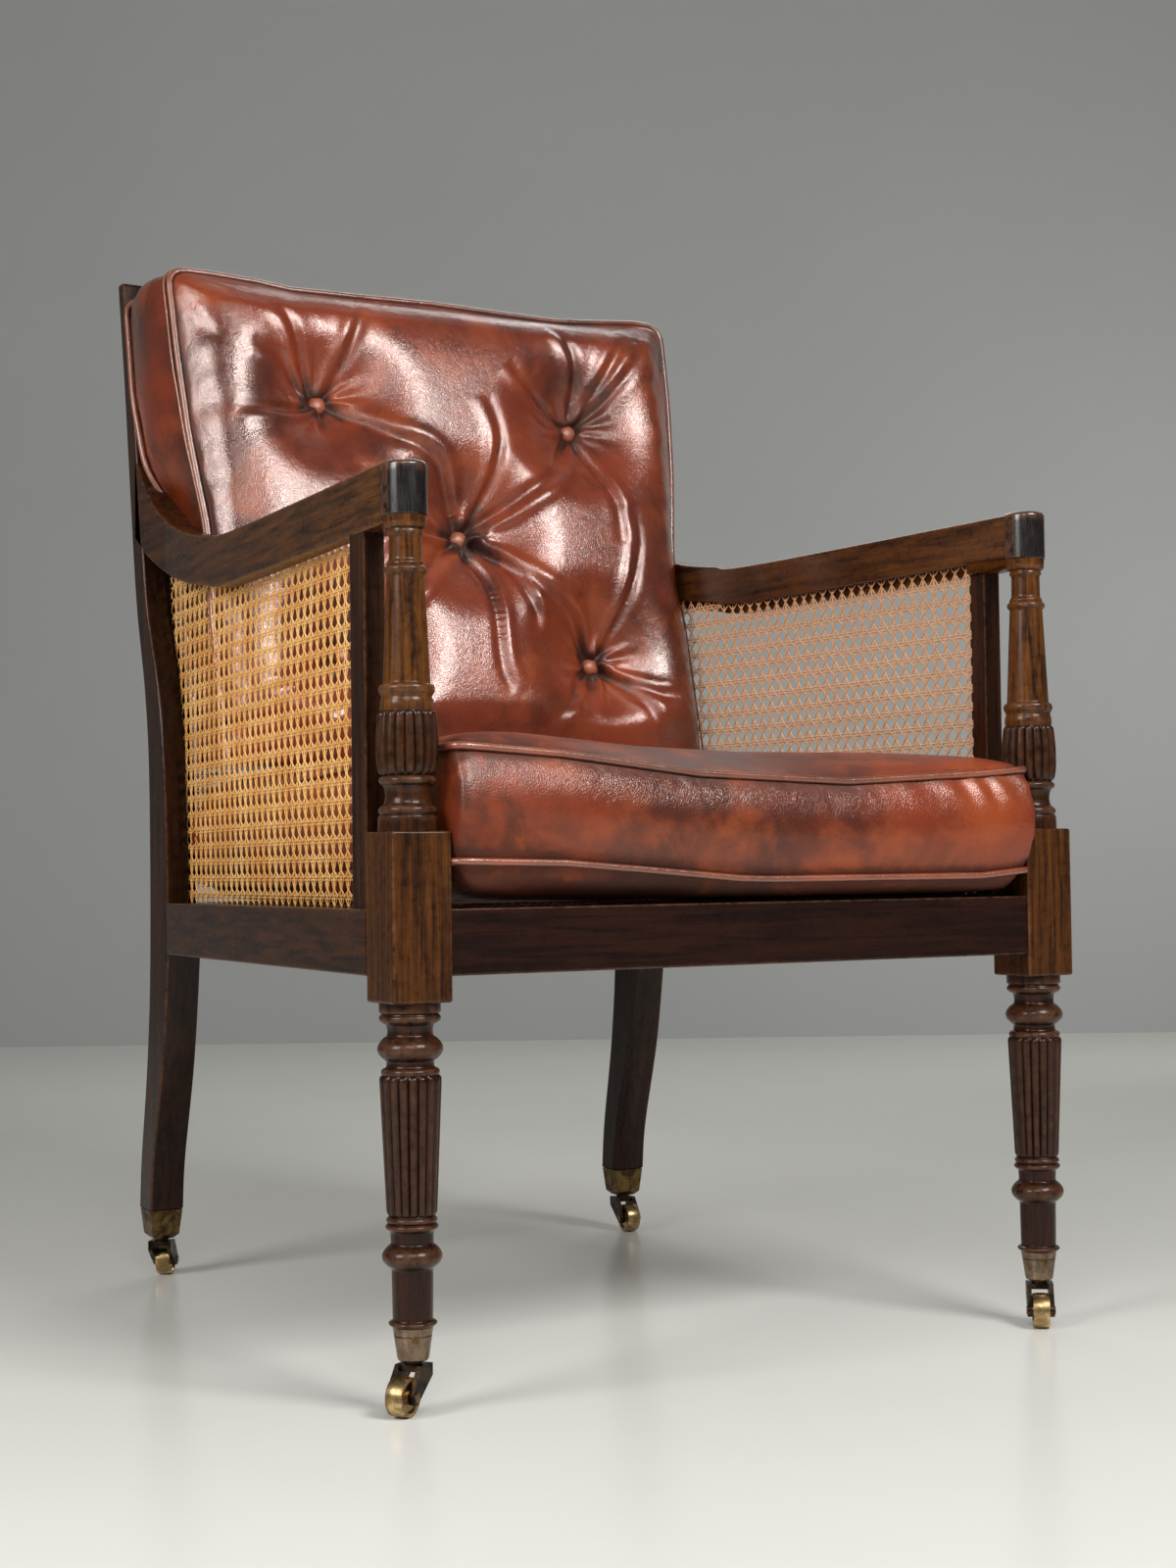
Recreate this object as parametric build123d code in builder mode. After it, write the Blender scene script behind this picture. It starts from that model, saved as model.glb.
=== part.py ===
from build123d import *
import math
import os

os.makedirs("parts", exist_ok=True)

# Library bergere chair on brass casters, in millimetres.
# The sitter faces -Y, +X is to the right of someone looking at the front, +Z is up.
# The origin is on the floor, under the middle of the chair.

# Plan of the frame
front_spacing = 570.0  # between the axes of the two front posts
front_line_y = -330.0  # axis of the front posts
seat_run = 557.5  # front post axis to the front face of the back posts
back_span = 538.6  # over the outer faces of the back posts

# Heights above the floor
leg_bottom_z = 60.3  # shoulder of the front leg on its brass cup
block_bottom_z = 287.7
block_top_z = 408.7
rail_bottom_z = 306.2
rail_height = 47.5
bowl_top_z = 633.5  # top of the turned arm support
arm_top_z = 672.0
back_top_z = 958.0
foot_bottom_z = 64.1  # shoulder of the back leg on its brass cup

# Front posts: leg, block and arm support turned from one length of wood
block_side = 46.0
block_edge_break = 1.2
post_pin_radius = 5.5
post_pin_length = 14.0
reed_count = 18
leg_reed_bottom_z = 138.5
leg_reed_top_z = 236.5
leg_reed_bottom_radius = 17.9
leg_reed_top_radius = 22.3
leg_reed_depth = 2.1
bulb_reed_bottom_z = 449.3
bulb_reed_top_z = 493.5
bulb_reed_radius = 22.7
bulb_reed_depth = 2.2
bulb_end_shares = [(0.0, 0.88), (0.3, 0.99), (0.62, 0.985), (1.0, 0.915)]

# Turned outlines, from the bottom up, as shares of the stretch's height and of half the block.
# The third share is how far an arc from the point before bulges out, 0 for a straight line.
leg_foot_shares = [
    (0.0, 0.62, 0.0),
    (0.015, 0.70, 0.0),
    (0.0538, 0.70, 0.16),
    (0.06, 0.62, 0.0),
    (0.52, 0.64, 0.0),
    (0.54, 0.74, 0.0),
    (0.72, 0.76, 0.25),
    (0.745, 0.655, 0.0),
    (0.855, 0.665, 0.0),
    (0.87, 0.75, 0.0),
    (0.925, 0.75, 0.10),
    (0.93, 0.72, 0.0),
    (0.985, 0.73, 0.10),
    (1.0, 0.70, 0.0),
]
leg_head_shares = [
    (0.0, 0.86, 0.0),
    (0.10, 0.84, 0.06),
    (0.135, 0.735, -0.03),
    (0.20, 0.735, 0.0),
    (0.53, 0.78, 0.26),
    (0.56, 0.71, -0.02),
    (0.70, 0.74, -0.02),
    (0.73, 0.87, 0.0),
    (0.845, 0.87, 0.09),
    (0.86, 0.90, 0.0),
    (0.865, 0.955, 0.0),
    (1.0, 0.955, 0.0),
]
support_base_shares = [
    (0.0, 0.94, 0.0),
    (0.27, 0.925, 0.0),
    (0.29, 0.85, 0.0),
    (0.44, 0.85, 0.07),
    (0.47, 0.76, 0.0),
    (0.80, 0.76, -0.06),
    (0.82, 0.82, 0.0),
    (0.96, 0.82, 0.08),
    (1.0, 0.74, 0.0),
]
support_shaft_shares = [
    (0.0, 0.815, 0.0),
    (0.065, 0.80, 0.03),
    (0.072, 0.78, 0.0),
    (0.09, 0.83, 0.0),
    (0.135, 0.83, 0.05),
    (0.14, 0.745, 0.0),
    (0.70, 0.585, 0.0),
    (0.705, 0.63, 0.0),
    (0.74, 0.63, 0.05),
    (0.745, 0.57, 0.0),
    (0.765, 0.55, 0.03),
    (0.775, 0.515, 0.0),
    (0.895, 0.505, 0.0),
    (0.905, 0.545, 0.0),
    (0.925, 0.545, 0.03),
    (0.93, 0.53, 0.0),
    (0.965, 0.665, 0.06),
    (1.0, 0.69, 0.0),
]

# Back posts: sabre leg and stile sawn from one board
back_post_width = 32.5
foot_setback = 51.5  # foot's front face behind the post's front face at the seat
foot_depth = 32.0
seat_depth_of_post = 49.5
top_depth_of_post = 14.0
top_setback = 118.5  # top's front face behind the front face at the seat
leg_front_shares = [(0.0, 1.0), (0.2, 0.86), (0.59, 0.327), (1.0, 0.0)]
leg_back_shares = [(0.0, 1.0), (0.2, 0.83), (0.59, 0.28), (1.0, 0.0)]
stile_front_shares = [(0.0, 0.0), (0.185, 0.055), (0.328, 0.19), (0.4636, 0.451), (0.606, 0.595),
                      (0.805, 0.77), (1.0, 1.0)]
stile_back_shares = [(0.185, 0.0), (0.3245, 0.12), (0.4685, 0.398), (0.6225, 0.578), (0.821, 0.783),
                     (1.0, 1.0)]

# Seat rails
rail_thickness = 38.0
rail_setback = 1.6  # the front rail stands behind the face of the blocks
back_rail_setback = 5.0
tenon_thickness = 12.0
tenon_length = 15.0
tenon_height_share = 0.62
joint_clearance = 0.1  # all round a tenon in its mortise

# Arms and the pieces under them
arm_thickness = 26.0
arm_height = 44.0
arm_front_outer_x = 300.5
arm_start = 6.0  # front end of the arm behind the post's axis
arm_level_run = 357.0  # straight part of the arm
arm_sweep_run = 269.0  # from there to the back post
arm_sweep_rise = 100.0
arm_top_shares = [(0.0, 0.0), (0.253, 0.06), (0.461, 0.15), (0.65, 0.29), (0.788, 0.45), (0.874, 0.61),
                  (0.948, 0.79), (1.05, 1.13)]
arm_bottom_shares = [(0.0, 0.0), (0.26, 0.06), (0.465, 0.14), (0.654, 0.26), (0.766, 0.36),
                     (0.911, 0.53), (1.03, 0.72)]
arm_tenon_thickness = 10.0
arm_tenon_bottom_share = 0.66  # heights in the sweep's rise
arm_tenon_top_share = 1.0
arm_stub_height = 12.0
terminal_radius = 16.5
terminal_edge_round = 3.5
upright_start = 47.0  # behind the front post's axis
upright_depth = 26.0
upright_width = 17.0
upright_setback = 1.0  # behind the outer face of the arm
stub_length = 8.0  # of the uprights' and the back rails' tenons

# Back frame, on a plane that leans back
back_line_low_z = 390.0
back_line_low_share = 0.515  # of the post's depth at the seat
lower_rail_height = 36.0
lower_rail_thickness = 22.0
crest_height = 68.0
crest_thickness = 13.0
crest_drop = 2.0  # crest's top under the top of the posts

# Cane panels
cane_thickness = 2.2
cane_side_inset = 23.0  # behind the outer face of the side rail
cane_lap = 8.0  # of the seat's cane on its rails
cane_pitch = 30.0
cane_gap_share = 0.74  # of the pitch
cane_gap_sides = 8
cane_border = 13.0

# Cushions
soft_gap = 0.3
piping_radius = 3.0
piping_gap = 0.5  # between the piping and the seam that holds it
boxing_bulge = 5.0
seat_cushion_front = 27.0  # front seam ahead of the front posts' axis
seat_cushion_front_width = 509.0
seat_cushion_back_width = 471.0
seat_seam_low = 17.0  # lower seam above the deck
seat_seam_rise = 86.0  # upper seam above the lower one
seat_crown = 20.0
seat_crown_run = 120.0
seat_belly_run = 46.0
seat_corner_round = 26.0
cushion_draw = 4.0  # how far a side is drawn in between its corners
back_cushion_clear = 2.2  # from the bowed front of the back posts
back_cushion_bottom_gap = 9.5  # under the crown of the seat cushion
back_cushion_height = 454.0
back_cushion_seam = 9.0  # rear seam in front of the cushion's back face
back_cushion_boxing = 98.0
back_cushion_crown = 17.0
back_crown_run = 92.0
back_cushion_low_width_rear = 468.0
back_cushion_low_width_front = 477.0
back_cushion_high_width = 522.0
flare_low_rear_share = 0.69  # where the cushion widens above the arms
flare_low_front_share = 0.48
flare_run = 60.0
back_corner_round = 30.0
tuft_radius = 62.0
tuft_depth = 24.0
tuft_arc_share = 0.16
button_radius = 7.2
button_height = 6.0
button_half_spacing = 136.0
button_middle_share = 0.476
button_row_rise = 126.0

# Casters
wheel_radius = 14.2
wheel_width = 13.2
wheel_crown = 0.6
wheel_dish_depth = 1.6
wheel_dish_outer_share = 0.77
wheel_dish_inner_share = 0.36
wheel_side_gap = 0.4
axle_radius = 1.8
running_fit = 0.05
snug_fit = 0.02
axle_head_radius = 3.4
axle_head_height = 0.8
trail = 15.0
horn_arm_thickness = 3.9
horn_eye_radius = 5.4
horn_bridge_drop = 4.6
horn_bridge_back = 8.5
horn_bridge_front = 7.0
horn_back_drop = 8.5
neck_radius = 6.4
neck_height = 2.4
neck_gap = 0.1
cup_bottom_z = 36.9
cup_floor = 5.0
cup_wall = 2.0
stem_radius = 3.0
rivet_radius = 5.0
rivet_height = 2.0
rivet_room = 1.0
front_cup_top_radius = 14.4
front_cup_low_radius = 11.6
front_cup_bottom_radius = 9.0
cup_round_height = 4.0
cup_line_z = 54.5
cup_line_width = 0.9
cup_line_depth = 0.5
rear_cup_top_x = 31.0
rear_cup_top_y = 29.5
rear_cup_low_x = 26.0
rear_cup_low_y = 24.5
rear_cup_neck = 17.0
screw_z = 53.0
screw_seat_gap = 0.2
screw_head_radius = 2.7
screw_stand = 0.2
screw_shank_radius = 1.4
screw_length = 7.0
slot_width = 0.8
slot_depth = 0.7
# Way each caster trails, in degrees from +X, and the way its cup's screw faces
front_left_trail_deg = 214.8
front_right_trail_deg = 233.1
back_left_trail_deg = 56.5
back_right_trail_deg = 264.3
front_screw_deg = 251.0

overrun = 5.0  # how far a cut runs past what it cuts

# Places worked out from the sizes above
post_x = front_spacing / 2
block_half = block_side / 2
block_back_y = front_line_y + block_half
post_front_y = front_line_y + seat_run
post_outer_x = back_span / 2
post_inner_x = post_outer_x - back_post_width
rail_top_z = rail_bottom_z + rail_height
rail_mid_z = (rail_bottom_z + rail_top_z) / 2
tenon_height = rail_height * tenon_height_share
block_outer_x = post_x + block_half
block_inner_x = post_x - block_half
front_rail_y = front_line_y - block_half + rail_setback
back_rail_y = post_front_y + back_rail_setback
arm_start_y = front_line_y + arm_start
arm_bottom_z = arm_top_z - arm_height
sweep_start_y = arm_start_y + arm_level_run
foot_front_y = post_front_y + foot_setback
foot_centre_y = foot_front_y + foot_depth / 2
foot_centre_x = (post_outer_x + post_inner_x) / 2
cup_floor_z = cup_bottom_z + cup_floor
sides = [(-1, "left"), (1, "right")]


def rail_outer_x(y):
    """Outer face of a side rail at a depth y: a straight line from the block to the back post."""
    slope = (post_outer_x - block_outer_x) / (post_front_y - block_back_y)
    return block_outer_x + slope * (y - block_back_y)


def arm_outer_x(y):
    """Outer face of an arm: straight to the seat's back, then in line with the back post."""
    slope = (post_outer_x - arm_front_outer_x) / (post_front_y - arm_start_y)
    return arm_front_outer_x + slope * (min(y, post_front_y) - arm_start_y)


def turned_points(shares, low_z, high_z):
    """Points of a turned stretch as (radius, height, bulge)."""
    return [(block_half * r, low_z + (high_z - low_z) * h, block_half * b) for h, r, b in shares]


def turned_edges(points):
    """Lines and arcs up the side of a turned stretch, closed along its axis."""
    first, last = points[0], points[-1]
    Line((0, first[1]), (first[0], first[1]))
    for (r0, z0, _), (r1, z1, bulge) in zip(points, points[1:]):
        if bulge == 0:
            Line((r0, z0), (r1, z1))
        else:
            run = math.hypot(r1 - r0, z1 - z0)
            middle = ((r0 + r1) / 2 + bulge * (z1 - z0) / run, (z0 + z1) / 2 - bulge * (r1 - r0) / run)
            ThreePointArc((r0, z0), middle, (r1, z1))
    Line((last[0], last[1]), (0, last[1]))
    Line((0, last[1]), (0, first[1]))


def turning_plane(x, y):
    """Upright plane through a turned piece's axis, with its x outward and its y up."""
    return Plane(origin=(x, y, 0), x_dir=(1, 0, 0), z_dir=(0, -1, 0))


def reeded_outline(radius, depth, count):
    """Ring of outward arcs, one for each reed, that meet in sharp valleys."""
    valley = radius - depth
    step = 2 * math.pi / count
    for i in range(count):
        a, b = i * step, (i + 1) * step
        middle = (a + b) / 2
        ThreePointArc(
            (valley * math.cos(a), valley * math.sin(a)),
            (radius * math.cos(middle), radius * math.sin(middle)),
            (valley * math.cos(b), valley * math.sin(b)),
        )


def edge_points(shares, start_y, run_y, start_z, run_z):
    """Points of a sawn outline as (y, z) from its shares of the height and of the setback."""
    return [(start_y + run_y * sy, start_z + run_z * sz) for sz, sy in shares]


def across(points, y):
    """Height of a sawn edge at a depth y, by straight runs between its points."""
    for (y0, z0), (y1, z1) in zip(points, points[1:]):
        if y0 <= y <= y1:
            return z0 + (z1 - z0) * (y - y0) / (y1 - y0)
    return points[-1][1] if y > points[-1][0] else points[0][1]


def depth_at(points, z):
    """Depth y of a sawn edge at a height z."""
    for (y0, z0), (y1, z1) in zip(points, points[1:]):
        if z0 <= z <= z1:
            return y0 + (y1 - y0) * (z - z0) / (z1 - z0)
    return points[-1][0] if z > points[-1][1] else points[0][0]


leg_rise = rail_bottom_z - foot_bottom_z
leg_front = edge_points(leg_front_shares, post_front_y, foot_setback, foot_bottom_z, leg_rise)
leg_back = edge_points(leg_back_shares, post_front_y + seat_depth_of_post,
                       foot_setback + foot_depth - seat_depth_of_post, foot_bottom_z, leg_rise)
stile_rise = back_top_z - rail_top_z
stile_front = edge_points(stile_front_shares, post_front_y, top_setback, rail_top_z, stile_rise)
stile_back = edge_points(stile_back_shares, post_front_y + seat_depth_of_post,
                         top_setback + top_depth_of_post - seat_depth_of_post, rail_top_z, stile_rise)
arm_top_line = [(arm_start_y, arm_top_z)] + [
    (sweep_start_y + arm_sweep_run * s, arm_top_z + arm_sweep_rise * h) for s, h in arm_top_shares]
arm_bottom_line = [(arm_start_y, arm_bottom_z)] + [
    (sweep_start_y + arm_sweep_run * s, arm_bottom_z + arm_sweep_rise * h) for s, h in arm_bottom_shares]

# Plane of the back frame: through the posts' middle at the seat and at the top
back_low_y = post_front_y + seat_depth_of_post * back_line_low_share
back_high_y = post_front_y + top_setback + top_depth_of_post / 2
back_lean = math.atan2(back_high_y - back_low_y, back_top_z - back_line_low_z)
back_up = (0, math.sin(back_lean), math.cos(back_lean))
back_run = (back_top_z - back_line_low_z) / math.cos(back_lean)
crest_mid = back_run - (crest_drop + crest_height / 2)

# Plane of the back cushion's rear face: it touches the bowed stiles near the seat and at the top
bow_y, bow_z = stile_front[2]
top_y, top_z = stile_front[-1]
cushion_lean = math.atan2(top_y - bow_y, top_z - bow_z)
cushion_up = (0, math.sin(cushion_lean), math.cos(cushion_lean))
cushion_out = (0, -math.cos(cushion_lean), math.sin(cushion_lean))
deck_z = rail_top_z + soft_gap
seat_low_seam_z = deck_z + seat_seam_low
seat_high_seam_z = seat_low_seam_z + seat_seam_rise
seat_crown_z = seat_high_seam_z + seat_crown
back_bottom_z = seat_crown_z + soft_gap
back_origin_z = seat_crown_z - back_cushion_bottom_gap
back_origin_y = bow_y - (bow_z - back_origin_z) * math.tan(cushion_lean) - back_cushion_clear
back_seam_front = back_cushion_seam + back_cushion_boxing


def spans_centre(x_span, y_span, z_span):
    return ((x_span[0] + x_span[1]) / 2, (y_span[0] + y_span[1]) / 2, (z_span[0] + z_span[1]) / 2)


def mirrored_span(side, low, high):
    """Span along X on one side of the chair."""
    return (side * low, side * high) if side > 0 else (side * high, side * low)


# Spans of the tenons, shared by each tenon and its mortise
tenon_z = (rail_mid_z - tenon_height / 2, rail_mid_z + tenon_height / 2)
front_tenon_y = (front_rail_y + (rail_thickness - tenon_thickness) / 2,
                 front_rail_y + (rail_thickness + tenon_thickness) / 2)
back_tenon_y = (back_rail_y + (rail_thickness - tenon_thickness) / 2,
                back_rail_y + (rail_thickness + tenon_thickness) / 2)
side_tenon_inset = (rail_thickness - tenon_thickness) / 2
front_side_tenon_x = rail_outer_x(block_back_y) - side_tenon_inset
back_side_tenon_x = rail_outer_x(post_front_y) - side_tenon_inset


def front_rail_tenon(side):
    return (mirrored_span(side, block_inner_x, block_inner_x + tenon_length), front_tenon_y, tenon_z)


def back_rail_tenon(side):
    return (mirrored_span(side, post_inner_x, post_inner_x + tenon_length), back_tenon_y, tenon_z)


def side_rail_front_tenon(side):
    return (mirrored_span(side, front_side_tenon_x - tenon_thickness, front_side_tenon_x),
            (block_back_y - tenon_length, block_back_y), tenon_z)


def side_rail_back_tenon(side):
    return (mirrored_span(side, back_side_tenon_x - tenon_thickness, back_side_tenon_x),
            (post_front_y, post_front_y + tenon_length), tenon_z)


arm_tenon_z = (arm_bottom_z + arm_sweep_rise * arm_tenon_bottom_share,
               arm_bottom_z + arm_sweep_rise * arm_tenon_top_share)
arm_end_front_y = depth_at(stile_front, arm_tenon_z[0])


def arm_back_tenon(side):
    middle = post_outer_x - arm_thickness / 2
    return (mirrored_span(side, middle - arm_tenon_thickness / 2, middle + arm_tenon_thickness / 2),
            (arm_end_front_y - tenon_length, arm_end_front_y + tenon_length), arm_tenon_z)


def arm_front_stub(side):
    middle = arm_front_outer_x - arm_thickness / 2
    top = arm_top_z - arm_stub_height / 2
    return (mirrored_span(side, middle - arm_tenon_thickness / 2, middle + arm_tenon_thickness / 2),
            (arm_start_y - arm_stub_height, arm_start_y), (top - arm_stub_height, top))


# Back frame's cross rails lean with the back, so their stub tenons do too
def leaning_plane(x, up_run):
    """Plane facing along X with its x up the back and its y to the front, up_run above the line's foot."""
    return Plane(
        origin=(x, back_low_y + back_up[1] * up_run, back_line_low_z + back_up[2] * up_run),
        x_dir=back_up,
        z_dir=(1, 0, 0),
    )


# Front posts
def caster_place(kind, side):
    """Centre of a caster's swivel in plan."""
    return (side * post_x, front_line_y) if kind == "front" else (side * foot_centre_x, foot_centre_y)


def cup_share(z, top_z):
    """Share of the way from a cup's floor to its mouth."""
    return (z - cup_floor_z) / (top_z - cup_floor_z)


def front_cup_outer(z):
    low_z = cup_bottom_z + cup_round_height
    share = (z - low_z) / (leg_bottom_z - low_z)
    return front_cup_low_radius + (front_cup_top_radius - front_cup_low_radius) * share


front_tenon_top_radius = front_cup_outer(leg_bottom_z) - cup_wall - joint_clearance
front_tenon_low_radius = front_cup_outer(cup_floor_z) - cup_wall - joint_clearance

for side, name in sides:
    px = side * post_x
    axis = Axis((px, front_line_y, 0), (0, 0, 1))
    flat = Plane(origin=(px, front_line_y, 0))
    with BuildPart() as front_post:
        with BuildSketch(flat.offset(block_bottom_z)):
            Rectangle(block_side, block_side)
        extrude(amount=block_top_z - block_bottom_z)
        chamfer(front_post.edges(), block_edge_break)
        stretches = [
            (leg_foot_shares, leg_bottom_z, leg_reed_bottom_z),
            (leg_head_shares, leg_reed_top_z, block_bottom_z),
            (support_base_shares, block_top_z, bulb_reed_bottom_z),
            (support_shaft_shares, bulb_reed_top_z, bowl_top_z),
        ]
        for shares, low_z, high_z in stretches:
            with BuildSketch(turning_plane(px, front_line_y)):
                with BuildLine():
                    turned_edges(turned_points(shares, low_z, high_z))
                make_face()
            revolve(axis=axis)
        # Reeded taper of the leg
        for z, radius in ((leg_reed_bottom_z, leg_reed_bottom_radius), (leg_reed_top_z, leg_reed_top_radius)):
            with BuildSketch(flat.offset(z)):
                with BuildLine():
                    reeded_outline(radius, leg_reed_depth, reed_count)
                make_face()
        loft(ruled=True)
        # Reeded bulb of the arm support
        for height_share, radius_share in bulb_end_shares:
            z = bulb_reed_bottom_z + (bulb_reed_top_z - bulb_reed_bottom_z) * height_share
            with BuildSketch(flat.offset(z)):
                with BuildLine():
                    reeded_outline(bulb_reed_radius * radius_share, bulb_reed_depth, reed_count)
                make_face()
        loft(ruled=True)
        # Round pin into the arm's terminal
        with BuildSketch(flat.offset(bowl_top_z)):
            Circle(post_pin_radius)
        extrude(amount=post_pin_length)
        # Tapered end inside the brass cup, hollowed for the swivel's rivet
        with BuildSketch(flat.offset(leg_bottom_z)):
            Circle(front_tenon_top_radius)
        with BuildSketch(flat.offset(cup_floor_z + joint_clearance)):
            Circle(front_tenon_low_radius)
        loft(ruled=True)
        with BuildSketch(flat.offset(cup_floor_z)):
            Circle(rivet_radius + rivet_room)
        extrude(amount=rivet_height + rivet_room, mode=Mode.SUBTRACT)
        for spans in (front_rail_tenon(side), side_rail_front_tenon(side)):
            with Locations(spans_centre(*spans)):
                Box(*[b - a + 2 * joint_clearance for a, b in spans], mode=Mode.SUBTRACT)
        # Pilot hole for the cup's screw
        angle = math.radians(front_screw_deg)
        screw_plane = Plane(origin=(px, front_line_y, screw_z), x_dir=(0, 0, 1),
                            z_dir=(math.cos(angle), math.sin(angle), 0))
        with BuildSketch(screw_plane.offset(front_tenon_low_radius - screw_length)):
            Circle(screw_shank_radius + joint_clearance)
        extrude(amount=screw_length + overrun, mode=Mode.SUBTRACT)
    front_post.part.label = f"front_post_{name}"
    export_step(front_post.part, f"parts/front_post_{name}.step")

# Back posts
lower_rail_tenon_height = lower_rail_height * tenon_height_share
crest_tenon_height = crest_height * tenon_height_share
lower_rail_tenon_thickness = lower_rail_thickness / 3
crest_tenon_thickness = crest_thickness / 3
cup_room = 2 * (cup_wall + joint_clearance)
rear_tenon_top = (rear_cup_top_x - cup_room, rear_cup_top_y - cup_room)
rear_tenon_low = (rear_cup_low_x - cup_room, rear_cup_low_y - cup_room)
post_blanks = {}
for side, name in sides:
    with BuildPart() as back_blank:
        with BuildSketch(Plane.YZ.offset(side * foot_centre_x - back_post_width / 2)):
            with BuildLine():
                foot_way = (leg_front[1][0] - leg_front[0][0], leg_front[1][1] - leg_front[0][1])
                Spline(*leg_front, tangents=[foot_way, (0, rail_height)])
                Line(leg_front[-1], stile_front[0])
                top_way = (stile_front[-1][0] - stile_front[-2][0], stile_front[-1][1] - stile_front[-2][1])
                Spline(*stile_front, tangents=[(0, rail_height), top_way])
                Line(stile_front[-1], stile_back[-1])
                top_way = (stile_back[-2][0] - stile_back[-1][0], stile_back[-2][1] - stile_back[-1][1])
                Spline(*reversed(stile_back), tangents=[top_way, (0, -rail_height)])
                Line(stile_back[0], leg_back[-1])
                foot_way = (leg_back[0][0] - leg_back[1][0], leg_back[0][1] - leg_back[1][1])
                Spline(*reversed(leg_back), tangents=[(0, -rail_height), foot_way])
                Line(leg_back[0], leg_front[0])
            make_face()
        extrude(amount=back_post_width)
    post_blanks[name] = back_blank.part
    foot = Plane(origin=(side * foot_centre_x, foot_centre_y, 0))
    with BuildPart() as back_post:
        add(back_blank.part)
        with BuildSketch(foot.offset(foot_bottom_z)):
            Rectangle(*rear_tenon_top)
        with BuildSketch(foot.offset(cup_floor_z + joint_clearance)):
            Rectangle(*rear_tenon_low)
        loft(ruled=True)
        with BuildSketch(foot.offset(cup_floor_z)):
            Circle(rivet_radius + rivet_room)
        extrude(amount=rivet_height + rivet_room, mode=Mode.SUBTRACT)
        for spans in (back_rail_tenon(side), side_rail_back_tenon(side), arm_back_tenon(side)):
            with Locations(spans_centre(*spans)):
                Box(*[b - a + 2 * joint_clearance for a, b in spans], mode=Mode.SUBTRACT)
        stubs = [(0, lower_rail_tenon_height, lower_rail_tenon_thickness),
                 (crest_mid, crest_tenon_height, crest_tenon_thickness)]
        for up_run, height, thickness in stubs:
            with BuildSketch(leaning_plane(side * post_inner_x, up_run)):
                Rectangle(height + 2 * joint_clearance, thickness + 2 * joint_clearance)
            extrude(amount=side * (stub_length + joint_clearance), mode=Mode.SUBTRACT)
        screw_plane = Plane(origin=(side * foot_centre_x, foot_centre_y, screw_z), x_dir=(0, 0, 1),
                            z_dir=(-side, 0, 0))
        with BuildSketch(screw_plane.offset(rear_tenon_low[0] / 2 - screw_length)):
            Circle(screw_shank_radius + joint_clearance)
        extrude(amount=screw_length + overrun, mode=Mode.SUBTRACT)
    back_post.part.label = f"back_post_{name}"
    export_step(back_post.part, f"parts/back_post_{name}.step")

# Seat rails, rebated on top for the woven seat
side_lap_inset = rail_thickness - cane_lap
front_lap_y = front_rail_y + rail_thickness - cane_lap
back_lap_y = back_rail_y + cane_lap
seat_cane_corners = [
    (block_inner_x - joint_clearance, front_lap_y),
    (block_inner_x - joint_clearance, block_back_y + joint_clearance),
    (rail_outer_x(block_back_y + joint_clearance) - side_lap_inset, block_back_y + joint_clearance),
    (rail_outer_x(post_front_y - joint_clearance) - side_lap_inset, post_front_y - joint_clearance),
    (post_inner_x - joint_clearance, post_front_y - joint_clearance),
    (post_inner_x - joint_clearance, back_lap_y),
]
seat_cane_outline = seat_cane_corners + [(-x, y) for x, y in reversed(seat_cane_corners)]
rebate_z = rail_top_z - cane_thickness


def cut_rebate():
    """Rebate for the woven seat, cut out of whichever rail is being built."""
    with BuildSketch(Plane.XY.offset(rebate_z)) as rebate:
        with BuildLine():
            Polyline(*seat_cane_outline, close=True)
        make_face()
    extrude(rebate.sketch, amount=cane_thickness + overrun, mode=Mode.SUBTRACT)


cross_rails = [
    ("front_seat_rail", block_inner_x, front_rail_y, front_rail_tenon),
    ("back_seat_rail", post_inner_x, back_rail_y, back_rail_tenon),
]
for node, half_length, rail_y, tenon in cross_rails:
    with BuildPart() as cross_rail:
        with Locations((0, rail_y + rail_thickness / 2, rail_mid_z)):
            Box(2 * half_length, rail_thickness, rail_height)
        for side, name in sides:
            spans = tenon(side)
            with Locations(spans_centre(*spans)):
                Box(*[b - a for a, b in spans])
        cut_rebate()
    cross_rail.part.label = node
    export_step(cross_rail.part, f"parts/{node}.step")

for side, name in sides:
    with BuildPart() as side_rail:
        with BuildSketch(Plane.XY.offset(rail_bottom_z)):
            with BuildLine():
                Polyline(
                    (side * rail_outer_x(block_back_y), block_back_y),
                    (side * rail_outer_x(post_front_y), post_front_y),
                    (side * (rail_outer_x(post_front_y) - rail_thickness), post_front_y),
                    (side * (rail_outer_x(block_back_y) - rail_thickness), block_back_y),
                    close=True,
                )
            make_face()
        extrude(amount=rail_height)
        for spans in (side_rail_front_tenon(side), side_rail_back_tenon(side)):
            with Locations(spans_centre(*spans)):
                Box(*[b - a for a, b in spans])
        cut_rebate()
        # Mortise for the foot of the panel's upright
        upright_mid_y = front_line_y + upright_start + upright_depth / 2
        upright_x = arm_outer_x(upright_mid_y) - upright_setback - upright_width / 2
        with Locations((side * upright_x, upright_mid_y, rail_top_z)):
            Box(upright_width / 2 + 2 * joint_clearance, upright_depth / 2 + 2 * joint_clearance,
                2 * (stub_length + joint_clearance), mode=Mode.SUBTRACT)
    side_rail.part.label = f"side_seat_rail_{name}"
    export_step(side_rail.part, f"parts/side_seat_rail_{name}.step")

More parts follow.
